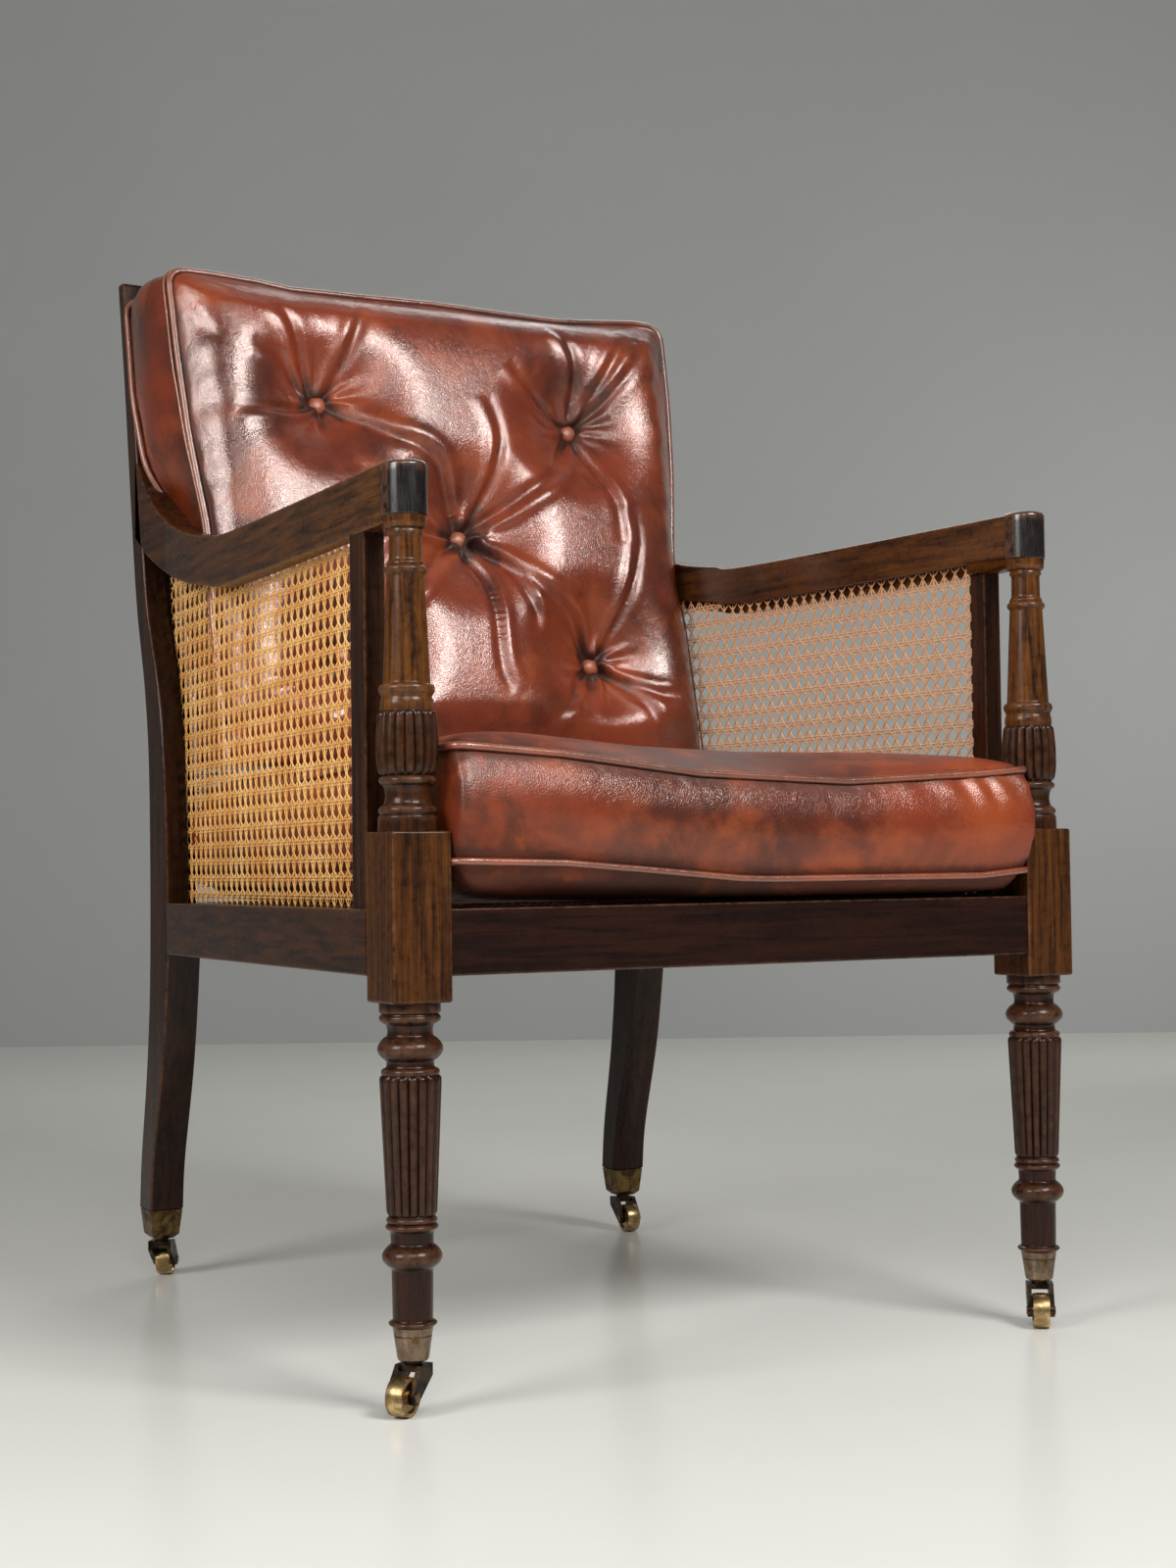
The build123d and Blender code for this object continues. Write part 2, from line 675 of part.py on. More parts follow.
# Cross rails of the back
back_cross = [
    ("lower_back_rail", 0, lower_rail_height, lower_rail_thickness, lower_rail_tenon_height,
     lower_rail_tenon_thickness),
    ("crest_rail", crest_mid, crest_height, crest_thickness, crest_tenon_height, crest_tenon_thickness),
]
for node, up_run, height, thickness, tenon_tall, tenon_thick in back_cross:
    with BuildPart() as back_rail:
        with BuildSketch(leaning_plane(-post_inner_x, up_run)):
            Rectangle(height, thickness)
        extrude(amount=2 * post_inner_x)
        with BuildSketch(leaning_plane(-post_inner_x - stub_length, up_run)):
            Rectangle(tenon_tall, tenon_thick)
        extrude(amount=2 * (post_inner_x + stub_length))
    back_rail.part.label = node
    export_step(back_rail.part, f"parts/{node}.step")

# Arms, terminals and the uprights of the side panels
for side, name in sides:
    end_y = arm_top_line[-1][0] + overrun
    with BuildPart() as arm:
        with BuildSketch(Plane.YZ.offset(-block_outer_x - overrun)):
            with BuildLine():
                Line(arm_bottom_line[0], arm_bottom_line[1])
                Spline(*arm_bottom_line[1:], tangents=[(arm_sweep_run, 0), (arm_sweep_run, arm_sweep_rise)],
                       tangent_scalars=[1, 1])
                Line(arm_bottom_line[-1], arm_top_line[-1])
                Spline(*reversed(arm_top_line[1:]), tangents=[(-arm_sweep_rise, -arm_sweep_run / 2),
                                                              (-arm_sweep_run, 0)])
                Line(arm_top_line[1], arm_top_line[0])
                Line(arm_top_line[0], arm_bottom_line[0])
            make_face()
        extrude(amount=2 * (block_outer_x + overrun))
        with BuildSketch(Plane.XY.offset(arm_bottom_z - overrun)):
            with BuildLine():
                Polyline(
                    (side * arm_outer_x(arm_start_y), arm_start_y),
                    (side * arm_outer_x(post_front_y), post_front_y),
                    (side * arm_outer_x(end_y), end_y),
                    (side * (arm_outer_x(end_y) - arm_thickness), end_y),
                    (side * (arm_outer_x(post_front_y) - arm_thickness), post_front_y),
                    (side * (arm_outer_x(arm_start_y) - arm_thickness), arm_start_y),
                    close=True,
                )
            make_face()
        extrude(amount=arm_height + 2 * arm_sweep_rise, mode=Mode.INTERSECT)
        add(post_blanks[name], mode=Mode.SUBTRACT)
        for spans in (arm_back_tenon(side), arm_front_stub(side)):
            with Locations(spans_centre(*spans)):
                Box(*[b - a for a, b in spans])
        # Round notch where the arm laps the bowl under its terminal
        with BuildSketch(Plane(origin=(side * post_x, front_line_y, arm_bottom_z))):
            Circle(block_half * support_shaft_shares[-1][1] + joint_clearance)
        extrude(amount=bowl_top_z - arm_bottom_z, mode=Mode.SUBTRACT)
        # Mortise for the head of the panel's upright
        with Locations((side * upright_x, upright_mid_y, arm_bottom_z)):
            Box(upright_width / 2 + 2 * joint_clearance, upright_depth / 2 + 2 * joint_clearance,
                2 * (stub_length + joint_clearance), mode=Mode.SUBTRACT)
    arm.part.label = f"arm_{name}"
    export_step(arm.part, f"parts/arm_{name}.step")

    with BuildPart() as terminal:
        with BuildSketch(Plane(origin=(side * post_x, front_line_y, bowl_top_z))):
            Circle(terminal_radius)
            with Locations((0, arm_start / 2)):
                Rectangle(2 * terminal_radius, arm_start)
            with Locations((0, arm_start + terminal_radius)):
                Rectangle(2 * terminal_radius + overrun, 2 * terminal_radius, mode=Mode.SUBTRACT)
        extrude(amount=arm_top_z - bowl_top_z)
        top_edges = terminal.faces().sort_by(Axis.Z)[-1].edges()
        fillet(top_edges.filter_by(lambda e: e.center().Y < arm_start_y - soft_gap), terminal_edge_round)
        with BuildSketch(Plane(origin=(side * post_x, front_line_y, bowl_top_z))):
            Circle(post_pin_radius + joint_clearance)
        extrude(amount=post_pin_length + joint_clearance, mode=Mode.SUBTRACT)
        spans = arm_front_stub(side)
        with Locations(spans_centre(*spans)):
            Box(*[b - a + 2 * joint_clearance for a, b in spans], mode=Mode.SUBTRACT)
    terminal.part.label = f"arm_terminal_{name}"
    export_step(terminal.part, f"parts/arm_terminal_{name}.step")

    with BuildPart() as upright:
        with Locations((side * upright_x, upright_mid_y, (rail_top_z + arm_bottom_z) / 2)):
            Box(upright_width, upright_depth, arm_bottom_z - rail_top_z)
            Box(upright_width / 2, upright_depth / 2, arm_bottom_z - rail_top_z + 2 * stub_length)
    upright.part.label = f"panel_upright_{name}"
    export_step(upright.part, f"parts/panel_upright_{name}.step")


# Cane panels: thin woven sheets, each one holed face
def gap_places(u_low, u_high, v_low, v_high):
    """Centres of an even grid that fills a rectangle."""
    columns = max(1, round((u_high - u_low) / cane_pitch))
    rows = max(1, round((v_high - v_low) / cane_pitch))
    step_u, step_v = (u_high - u_low) / columns, (v_high - v_low) / rows
    return [(u_low + (i + 0.5) * step_u, v_low + (j + 0.5) * step_v)
            for i in range(columns) for j in range(rows)]


def cut_gaps(places):
    """Eight-sided gaps between the strands, cut out of whichever sheet is being drawn."""
    with Locations(*places):
        RegularPolygon(gap_size / 2, cane_gap_sides, major_radius=False, rotation=180 / cane_gap_sides,
                       mode=Mode.SUBTRACT)


gap_size = cane_pitch * cane_gap_share
gap_reach = gap_size / 2 + cane_border / 2
upright_back_y = front_line_y + upright_start + upright_depth
for side, name in sides:
    line_start = (rail_outer_x(upright_back_y) - cane_side_inset, upright_back_y)
    line_end = (rail_outer_x(post_front_y) - cane_side_inset, post_front_y)
    run_x, run_y = line_end[0] - line_start[0], line_end[1] - line_start[1]
    run = math.hypot(run_x, run_y)
    stretch = run / run_y
    along = (side * run_x / run, run_y / run, 0)
    panel_plane = Plane(origin=(side * line_start[0], line_start[1], 0), x_dir=along,
                        z_dir=(along[1], -along[0], 0))
    # The sheet runs into the post and over the arm's lower edge, where the next cuts end it
    tuck = seat_depth_of_post / 4
    sheet_top = arm_bottom_line[-1][1] + tuck
    rear_edge = [((y - upright_back_y + tuck) * stretch, z) for y, z in stile_front if z < sheet_top]
    start_u = cane_thickness * joint_clearance
    with BuildPart() as cane_side:
        with BuildSketch(panel_plane.offset(-cane_thickness / 2)):
            with BuildLine():
                Polyline((start_u, rail_top_z), *rear_edge, (rear_edge[-1][0] + tuck, sheet_top),
                         (start_u, sheet_top), close=True)
            make_face()
            grid = gap_places(cane_border / 2, rear_edge[-1][0], rail_top_z + cane_border / 2, sheet_top)
            cut_gaps([
                (u, v)
                for u, v in grid
                if across(arm_bottom_line, upright_back_y + u / stretch) - v > gap_reach
                and depth_at(stile_front, v) - (upright_back_y + u / stretch) > gap_reach
            ])
        extrude(amount=cane_thickness)
        add(post_blanks[name], mode=Mode.SUBTRACT)
        with BuildSketch(Plane.YZ.offset(-block_outer_x - overrun)):
            with BuildLine():
                Line(arm_bottom_line[0], arm_bottom_line[1])
                Spline(*arm_bottom_line[1:], tangents=[(arm_sweep_run, 0), (arm_sweep_run, arm_sweep_rise)],
                       tangent_scalars=[1, 1])
                Polyline(arm_bottom_line[-1], (arm_bottom_line[-1][0] + arm_height, arm_bottom_line[-1][1]),
                         (arm_bottom_line[-1][0] + arm_height, arm_top_z + 2 * arm_sweep_rise),
                         (arm_bottom_line[0][0], arm_top_z + 2 * arm_sweep_rise), arm_bottom_line[0])
            make_face()
        extrude(amount=2 * (block_outer_x + overrun), mode=Mode.SUBTRACT)
    cane_side.part.label = f"cane_side_{name}"
    export_step(cane_side.part, f"parts/cane_side_{name}.step")

back_panel_low = lower_rail_height / 2
back_panel_high = crest_mid - crest_height / 2
back_panel_plane = Plane(origin=(0, back_low_y, back_line_low_z), x_dir=(1, 0, 0),
                         z_dir=(0, -math.cos(back_lean), math.sin(back_lean)))
with BuildPart() as cane_back:
    with BuildSketch(back_panel_plane.offset(-cane_thickness / 2)):
        with Locations((0, (back_panel_low + back_panel_high) / 2)):
            Rectangle(2 * post_inner_x, back_panel_high - back_panel_low)
        cut_gaps(gap_places(cane_border / 2 - post_inner_x, post_inner_x - cane_border / 2,
                            back_panel_low + cane_border / 2, back_panel_high - cane_border / 2))
    extrude(amount=cane_thickness)
cane_back.part.label = "cane_back"
export_step(cane_back.part, "parts/cane_back.step")

seat_pitch_width = 2 * (rail_outer_x(post_front_y) - rail_thickness)
with BuildPart() as cane_seat:
    with BuildSketch(Plane.XY.offset(rebate_z)):
        with BuildLine():
            Polyline(*seat_cane_outline, close=True)
        make_face()
        cut_gaps(gap_places(-seat_pitch_width / 2, seat_pitch_width / 2, front_lap_y + cane_border,
                            back_lap_y - cane_border))
    extrude(amount=cane_thickness)
cane_seat.part.label = "cane_seat"
export_step(cane_seat.part, "parts/cane_seat.step")


# Cushions
def drawn_outline(corners, draw, corner_round):
    """Closed outline through corners, each side drawn in by an arc, with rounded corners."""
    count = len(corners)
    centre_x = sum(x for x, y in corners) / count
    centre_y = sum(y for x, y in corners) / count
    with BuildLine() as outline:
        for (x0, y0), (x1, y1) in zip(corners, corners[1:] + corners[:1]):
            mx, my = (x0 + x1) / 2, (y0 + y1) / 2
            length = math.hypot(x1 - x0, y1 - y0)
            nx, ny = (y1 - y0) / length, (x0 - x1) / length
            inward = 1 if nx * (centre_x - mx) + ny * (centre_y - my) > 0 else -1
            pull = draw * inward * length / seat_cushion_front_width
            ThreePointArc((x0, y0), (mx + nx * pull, my + ny * pull), (x1, y1))
    make_face(outline.edges())


seat_front_y = front_line_y - seat_cushion_front
seat_back_y = post_front_y - soft_gap - 2 * piping_radius - boxing_bulge / 2


def seat_corners(inset):
    front, back = seat_cushion_front_width / 2 - inset, seat_cushion_back_width / 2 - inset
    return [(-front, seat_front_y + inset), (front, seat_front_y + inset),
            (back, seat_back_y - inset), (-back, seat_back_y - inset)]


def seat_outline(inset):
    drawn_outline(seat_corners(inset), cushion_draw, seat_corner_round)


crown_steps = 4
boxing_shares = (0.2, 0.5, 0.8)
seat_sections = [(deck_z, seat_belly_run), (deck_z + seat_seam_low / 3, seat_belly_run / 5)]
seat_sections += [(seat_low_seam_z, 0)]
seat_sections += [(seat_low_seam_z + seat_seam_rise * s, -boxing_bulge * math.sin(math.pi * s))
                  for s in boxing_shares]
seat_sections += [(seat_high_seam_z, 0)]
seat_sections += [(seat_high_seam_z + seat_crown * math.sin(math.pi / 2 * i / crown_steps),
                   seat_crown_run * (1 - math.cos(math.pi / 2 * i / crown_steps)))
                  for i in range(1, crown_steps + 1)]
with BuildPart() as seat_cushion:
    for z, inset in seat_sections:
        with BuildSketch(Plane.XY.offset(z)) as section:
            seat_outline(inset)
            fillet(section.vertices(), seat_corner_round)
    loft(ruled=True)
seat_cushion.part.label = "seat_cushion"
export_step(seat_cushion.part, "parts/seat_cushion.step")


def sweep_piping(loop_face):
    """Round cord swept along the outer edge of a face."""
    path = loop_face.outer_wire()
    with BuildSketch(Plane(origin=path @ 0, z_dir=path % 0)) as section:
        Circle(piping_radius)
    sweep(section.sketch, path=path)


with BuildPart() as seat_piping:
    for z in (seat_low_seam_z, seat_high_seam_z):
        with BuildSketch(Plane.XY.offset(z), mode=Mode.PRIVATE) as loop:
            seat_outline(0)
            fillet(loop.vertices(), seat_corner_round)
            offset(amount=piping_radius + piping_gap)
        sweep_piping(loop.sketch.faces()[0])
seat_piping.part.label = "seat_cushion_piping"
export_step(seat_piping.part, "parts/seat_cushion_piping.step")


def back_corners(reach, inset):
    """Corners of the back cushion, reach in front of its rear face: it widens above the arms."""
    share = min(max(reach / back_seam_front, 0), 1)
    widening = back_cushion_low_width_front - back_cushion_low_width_rear
    low = (back_cushion_low_width_rear + widening * share) / 2
    high = back_cushion_high_width / 2
    flare_share = flare_low_rear_share + (flare_low_front_share - flare_low_rear_share) * share
    flare = back_cushion_height * flare_share
    right = [(low - inset, inset), (low - inset, flare), (high - inset, flare + flare_run),
             (high - inset, back_cushion_height - inset)]
    return right + [(-x, v) for x, v in reversed(right)]


def cushion_plane(reach):
    """Plane across the back cushion, with its x to the right and its y up the lean."""
    return Plane(
        origin=(0, back_origin_y + cushion_out[1] * reach, back_origin_z + cushion_out[2] * reach),
        x_dir=(1, 0, 0),
        z_dir=cushion_out,
    )


back_sections = [(0, back_crown_run / 4), (back_cushion_seam, 0)]
back_sections += [(back_cushion_seam + back_cushion_boxing * s, -boxing_bulge * math.sin(math.pi * s))
                  for s in boxing_shares]
back_sections += [(back_seam_front, 0)]
back_sections += [(back_seam_front + back_cushion_crown * math.sin(math.pi / 2 * i / crown_steps),
                   back_crown_run * (1 - math.cos(math.pi / 2 * i / crown_steps)))
                  for i in range(1, crown_steps + 1)]
front_reach = back_sections[-1][0]
tuft_floor = front_reach - tuft_depth
button_mid_v = back_cushion_height * button_middle_share
button_places = [(0, button_mid_v)] + [
    (sx * button_half_spacing, button_mid_v + sv * button_row_rise) for sx in (-1, 1) for sv in (-1, 1)]
with BuildPart() as back_cushion:
    for reach, inset in back_sections:
        with BuildSketch(cushion_plane(reach)) as section:
            with BuildLine():
                Polyline(*back_corners(reach, inset), close=True)
            make_face()
            fillet(section.vertices(), back_corner_round)
    loft(ruled=True)
    # Flat where it rests on the seat cushion
    with Locations((0, post_front_y, back_bottom_z - seat_run / 2)):
        Box(2 * block_outer_x, 2 * seat_run, seat_run, mode=Mode.SUBTRACT)
    # Sewn tufts, each a dimple with its button at the bottom
    for u, v in button_places:
        centre = cushion_plane(0).from_local_coords((u, v, 0))
        tuft_plane = Plane(origin=centre, x_dir=(1, 0, 0), z_dir=(0, -cushion_up[1], -cushion_up[2]))
        with BuildSketch(tuft_plane):
            with BuildLine():
                start = (button_radius, tuft_floor)
                end = (tuft_radius, front_reach + overrun / 5)
                run_r, run_n = end[0] - start[0], end[1] - start[1]
                sag = tuft_arc_share
                middle = ((start[0] + end[0]) / 2 - run_n * sag, (start[1] + end[1]) / 2 + run_r * sag)
                Line((0, tuft_floor), start)
                ThreePointArc(start, middle, end)
                clear_reach = front_reach + 2 * overrun
                Polyline(end, (end[0], clear_reach), (0, clear_reach), (0, tuft_floor))
            make_face()
        revolve(axis=Axis(centre, cushion_out), mode=Mode.SUBTRACT)
back_cushion.part.label = "back_cushion"
export_step(back_cushion.part, "parts/back_cushion.step")

with BuildPart() as buttons:
    for u, v in button_places:
        centre = cushion_plane(0).from_local_coords((u, v, 0))
        button_plane = Plane(origin=centre, x_dir=(1, 0, 0), z_dir=(0, -cushion_up[1], -cushion_up[2]))
        with BuildSketch(button_plane):
            with BuildLine():
                rim = button_radius - soft_gap
                shoulder = tuft_floor + button_height / 4
                Polyline((0, tuft_floor + button_height), (0, tuft_floor), (rim, tuft_floor), (rim, shoulder))
                Spline((rim, shoulder), (0, tuft_floor + button_height),
                       tangents=[(0, button_height), (-rim, 0)])
            make_face()
        revolve(axis=Axis(centre, cushion_out))
buttons.part.label = "back_cushion_buttons"
export_step(buttons.part, "parts/back_cushion_buttons.step")

with BuildPart() as back_piping:
    for reach in (back_cushion_seam, back_seam_front):
        with BuildSketch(cushion_plane(reach), mode=Mode.PRIVATE) as loop:
            with BuildLine():
                Polyline(*back_corners(reach, 0), close=True)
            make_face()
            fillet(loop.vertices(), back_corner_round)
            offset(amount=piping_radius + piping_gap)
        sweep_piping(loop.sketch.faces()[0])
    with Locations((0, post_front_y, back_bottom_z - seat_run / 2)):
        Box(2 * block_outer_x, 2 * seat_run, seat_run, mode=Mode.SUBTRACT)
back_piping.part.label = "back_cushion_piping"
export_step(back_piping.part, "parts/back_cushion_piping.step")


# Casters
def plan_angle(deg):
    return (math.cos(math.radians(deg)), math.sin(math.radians(deg)), 0)


casters = [
    ("front", -1, "left", front_left_trail_deg),
    ("front", 1, "right", front_right_trail_deg),
    ("back", -1, "left", back_left_trail_deg),
    ("back", 1, "right", back_right_trail_deg),
]
horn_top_z = cup_bottom_z - neck_gap - neck_height
bridge_bottom_z = horn_top_z - horn_bridge_drop
arm_gap = wheel_width / 2 + wheel_side_gap
horn_outer = arm_gap + horn_arm_thickness
bore_radius = stem_radius + running_fit
screws = []
for kind, side, name, trail_deg in casters:
    cx, cy = caster_place(kind, side)
    flat = Plane(origin=(cx, cy, 0))
    mouth_z = leg_bottom_z if kind == "front" else foot_bottom_z
    toward = plan_angle(front_screw_deg) if kind == "front" else (-side, 0, 0)
    screw_plane = Plane(origin=(cx, cy, screw_z), x_dir=(0, 0, 1), z_dir=toward)

    with BuildPart() as cup:
        if kind == "front":
            with BuildSketch(turning_plane(cx, cy)):
                with BuildLine():
                    low_z = cup_bottom_z + cup_round_height
                    Polyline((0, mouth_z), (0, cup_bottom_z), (front_cup_bottom_radius, cup_bottom_z))
                    Spline((front_cup_bottom_radius, cup_bottom_z), (front_cup_low_radius, low_z),
                           tangents=[(front_cup_low_radius, 0),
                                     (front_cup_top_radius - front_cup_low_radius, mouth_z - low_z)])
                    line_r = front_cup_outer(cup_line_z)
                    Polyline(
                        (front_cup_low_radius, low_z),
                        (front_cup_outer(cup_line_z - cup_line_width / 2), cup_line_z - cup_line_width / 2),
                        (line_r - cup_line_depth, cup_line_z),
                        (front_cup_outer(cup_line_z + cup_line_width / 2), cup_line_z + cup_line_width / 2),
                        (front_cup_top_radius, mouth_z),
                        (0, mouth_z),
                    )
                make_face()
            revolve(axis=Axis((cx, cy, 0), (0, 0, 1)))
            with BuildSketch(flat.offset(mouth_z)):
                Circle(front_cup_outer(mouth_z) - cup_wall)
            with BuildSketch(flat.offset(cup_floor_z)):
                Circle(front_cup_outer(cup_floor_z) - cup_wall)
            loft(ruled=True, mode=Mode.SUBTRACT)
        else:
            low_z = cup_bottom_z + cup_round_height
            with BuildSketch(flat.offset(mouth_z)):
                Rectangle(rear_cup_top_x, rear_cup_top_y)
            with BuildSketch(flat.offset(low_z)):
                Rectangle(rear_cup_low_x, rear_cup_low_y)
            loft(ruled=True)
            with BuildSketch(flat.offset(low_z)):
                Rectangle(rear_cup_low_x, rear_cup_low_y)
            with BuildSketch(flat.offset(cup_bottom_z)):
                Rectangle(rear_cup_neck, rear_cup_neck)
            loft(ruled=True)
            with BuildSketch(flat.offset(mouth_z)):
                Rectangle(rear_cup_top_x - 2 * cup_wall, rear_cup_top_y - 2 * cup_wall)
            with BuildSketch(flat.offset(cup_floor_z)):
                Rectangle(rear_cup_low_x - 2 * cup_wall, rear_cup_low_y - 2 * cup_wall)
            loft(ruled=True, mode=Mode.SUBTRACT)
        with BuildSketch(flat.offset(cup_bottom_z - overrun)):
            Circle(bore_radius)
        extrude(amount=cup_floor + overrun, mode=Mode.SUBTRACT)
        with BuildSketch(screw_plane):
            Circle(screw_head_radius + snug_fit)
        extrude(amount=rear_cup_top_x, mode=Mode.SUBTRACT)
    node = f"caster_cup_{kind}_{name}"
    cup.part.label = node
    export_step(cup.part, f"parts/{node}.step")

    # Screw through the cup's wall into the foot
    if kind == "front":
        outer = front_cup_outer(screw_z)
        foot_low, foot_top = front_tenon_low_radius, front_tenon_top_radius
    else:
        low_z = cup_bottom_z + cup_round_height
        taper = (rear_cup_top_x - rear_cup_low_x) / (mouth_z - low_z)
        outer = (rear_cup_low_x + taper * (screw_z - low_z)) / 2
        foot_low, foot_top = rear_tenon_low[0] / 2, rear_tenon_top[0] / 2
    foot_face = foot_low + (foot_top - foot_low) * cup_share(screw_z + screw_head_radius, mouth_z)
    head_base = foot_face + screw_seat_gap
    with BuildPart() as screw:
        with BuildSketch(screw_plane.offset(head_base)):
            Circle(screw_head_radius)
        extrude(amount=outer + screw_stand - head_base)
        with BuildSketch(screw_plane.offset(foot_face - screw_length)):
            Circle(screw_shank_radius)
        extrude(amount=screw_length + head_base - foot_face)
        with BuildSketch(screw_plane.offset(outer + screw_stand - slot_depth)):
            Rectangle(3 * screw_head_radius, slot_width)
        extrude(amount=2 * slot_depth, mode=Mode.SUBTRACT)
    screws.append(screw.part)

    # Horn: stem, neck, bridge and two arms, trailing behind the swivel
    ahead = plan_angle(trail_deg)
    swivel = Plane(origin=(cx, cy, 0), x_dir=ahead)
    cheek = Plane(origin=(cx, cy, 0), x_dir=ahead, z_dir=(ahead[1], -ahead[0], 0))
    wheel_axis = Axis(cheek.from_local_coords((trail, wheel_radius, 0)), cheek.z_dir)
    with BuildPart() as horn:
        with BuildSketch(swivel.offset(bridge_bottom_z)):
            with Locations(((horn_bridge_front - horn_bridge_back) / 2, 0)):
                Rectangle(horn_bridge_front + horn_bridge_back, 2 * horn_outer)
        extrude(amount=horn_bridge_drop)
        for way in (-1, 1):
            with BuildSketch(cheek.offset(way * arm_gap)):
                with BuildLine():
                    Polyline((-horn_bridge_back, horn_top_z), (horn_bridge_front, horn_top_z),
                             (horn_bridge_front, bridge_bottom_z),
                             (-horn_bridge_back, horn_top_z - horn_back_drop), close=True)
                    CenterArc((trail, wheel_radius), horn_eye_radius, 0, 360)
                make_hull()
            extrude(amount=way * horn_arm_thickness)
        with BuildSketch(flat.offset(horn_top_z)):
            Circle(neck_radius)
        extrude(amount=neck_height)
        with BuildSketch(flat.offset(horn_top_z)):
            Circle(stem_radius)
        extrude(amount=cup_floor_z + neck_gap - horn_top_z + rivet_height / 2)
        with BuildSketch(flat.offset(cup_floor_z + neck_gap)):
            Circle(rivet_radius)
        extrude(amount=rivet_height)
        with BuildSketch(cheek.offset(-horn_outer - overrun)):
            with Locations((trail, wheel_radius)):
                Circle(axle_radius + snug_fit)
        extrude(amount=2 * (horn_outer + overrun), mode=Mode.SUBTRACT)
    node = f"caster_horn_{kind}_{name}"
    horn.part.label = node
    export_step(horn.part, f"parts/{node}.step")

    # Axle riveted over both arms
    with BuildPart() as axle:
        with BuildSketch(cheek.offset(-horn_outer - axle_head_height)):
            with Locations((trail, wheel_radius)):
                Circle(axle_head_radius)
        extrude(amount=axle_head_height)
        with BuildSketch(cheek.offset(-horn_outer)):
            with Locations((trail, wheel_radius)):
                Circle(axle_radius)
        extrude(amount=2 * horn_outer)
        with BuildSketch(cheek.offset(horn_outer)):
            with Locations((trail, wheel_radius)):
                Circle(axle_head_radius)
        extrude(amount=axle_head_height)
    node = f"caster_axle_{kind}_{name}"
    axle.part.label = node
    export_step(axle.part, f"parts/{node}.step")

    # Solid wheel with a crowned tread, a dish in each side and a hub
    half = wheel_width / 2
    tread = wheel_radius - wheel_crown
    dish_outer, dish_inner = wheel_radius * wheel_dish_outer_share, wheel_radius * wheel_dish_inner_share
    wheel_centre = cheek.from_local_coords((trail, wheel_radius, 0))
    wheel_plane = Plane(origin=wheel_centre, x_dir=(0, 0, 1), z_dir=ahead)
    bore = axle_radius + running_fit
    with BuildPart() as wheel:
        with BuildSketch(wheel_plane):
            with BuildLine():
                Polyline(
                    (tread, -half), (dish_outer, -half),
                    (dish_outer - wheel_dish_depth / 2, -half + wheel_dish_depth),
                    (dish_inner, -half + wheel_dish_depth), (dish_inner, -half), (bore, -half), (bore, half),
                    (dish_inner, half), (dish_inner, half - wheel_dish_depth),
                    (dish_outer - wheel_dish_depth / 2, half - wheel_dish_depth), (dish_outer, half),
                    (tread, half),
                )
                ThreePointArc((tread, half), (wheel_radius, 0), (tread, -half))
            make_face()
        revolve(axis=wheel_axis)
    node = f"caster_wheel_{kind}_{name}"
    wheel.part.label = node
    export_step(wheel.part, f"parts/{node}.step")

cup_screws = Compound(children=screws)
cup_screws.label = "cup_screws"
export_step(cup_screws, "parts/cup_screws.step")
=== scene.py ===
import math

import bpy
import numpy as np
from mathutils import Matrix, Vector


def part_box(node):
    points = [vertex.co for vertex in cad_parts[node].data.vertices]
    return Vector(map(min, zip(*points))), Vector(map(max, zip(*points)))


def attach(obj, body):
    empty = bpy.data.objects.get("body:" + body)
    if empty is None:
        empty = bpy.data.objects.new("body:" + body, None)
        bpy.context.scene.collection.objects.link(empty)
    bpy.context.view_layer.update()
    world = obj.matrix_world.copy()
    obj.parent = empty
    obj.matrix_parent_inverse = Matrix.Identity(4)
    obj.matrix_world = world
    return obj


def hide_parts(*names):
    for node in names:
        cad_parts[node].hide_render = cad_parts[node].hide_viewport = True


# Library bergere chair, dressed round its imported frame.
# Shapes are worked out in millimetres, and makePiece turns them into metres.
# The sitter faces -Y, +X is to the right of someone looking at the front, +Z is up.

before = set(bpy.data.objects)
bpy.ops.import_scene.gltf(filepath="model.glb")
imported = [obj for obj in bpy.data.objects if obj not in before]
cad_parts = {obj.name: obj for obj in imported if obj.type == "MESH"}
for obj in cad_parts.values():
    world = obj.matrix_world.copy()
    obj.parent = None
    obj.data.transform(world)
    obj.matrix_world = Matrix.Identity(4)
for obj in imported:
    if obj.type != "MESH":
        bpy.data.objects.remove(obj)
for stray in ("Cube", "Light", "Camera"):
    if stray in bpy.data.objects:
        bpy.data.objects.remove(bpy.data.objects[stray])
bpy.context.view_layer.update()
sides = [(-1, "left"), (1, "right")]
perMetre = 1000.0
crisp = 50  # degrees past which an edge of worked wood stays crisp
loopSamples = 1600
print("frame loaded")


# Numbers and lines
# Smooth line through points: a cubic between each two, whose end slopes are half the step from the point
# before to the point after.
def smoothCurve(points, count):
    p = np.asarray(points, float)
    before = np.vstack([2 * p[0] - p[1], p, 2 * p[-1] - p[-2]])
    slope = (before[2:] - before[:-2]) / 2
    at = np.linspace(0, len(p) - 1, count)
    i = np.minimum(at.astype(int), len(p) - 2)
    t = (at - i)[:, None]
    return ((2 * t**3 - 3 * t**2 + 1) * p[i] + (t**3 - 2 * t**2 + t) * slope[i]
            + (3 * t**2 - 2 * t**3) * p[i + 1] + (t**3 - t**2) * slope[i + 1])


# The line resampled evenly along its length: closed at count points, or open with points about a step
# apart.
def evenly(line, count=None, step=None):
    p = np.vstack([line, line[:1]]) if count else np.asarray(line, float)
    run = np.concatenate([[0], np.cumsum(np.linalg.norm(np.diff(p, axis=0), axis=1))])
    points = count or max(2, int(round(run[-1] / step)) + 1)
    at = np.linspace(0, run[-1], points, endpoint=not count)
    return np.stack([np.interp(at, run, p[:, k]) for k in range(p.shape[1])], 1)


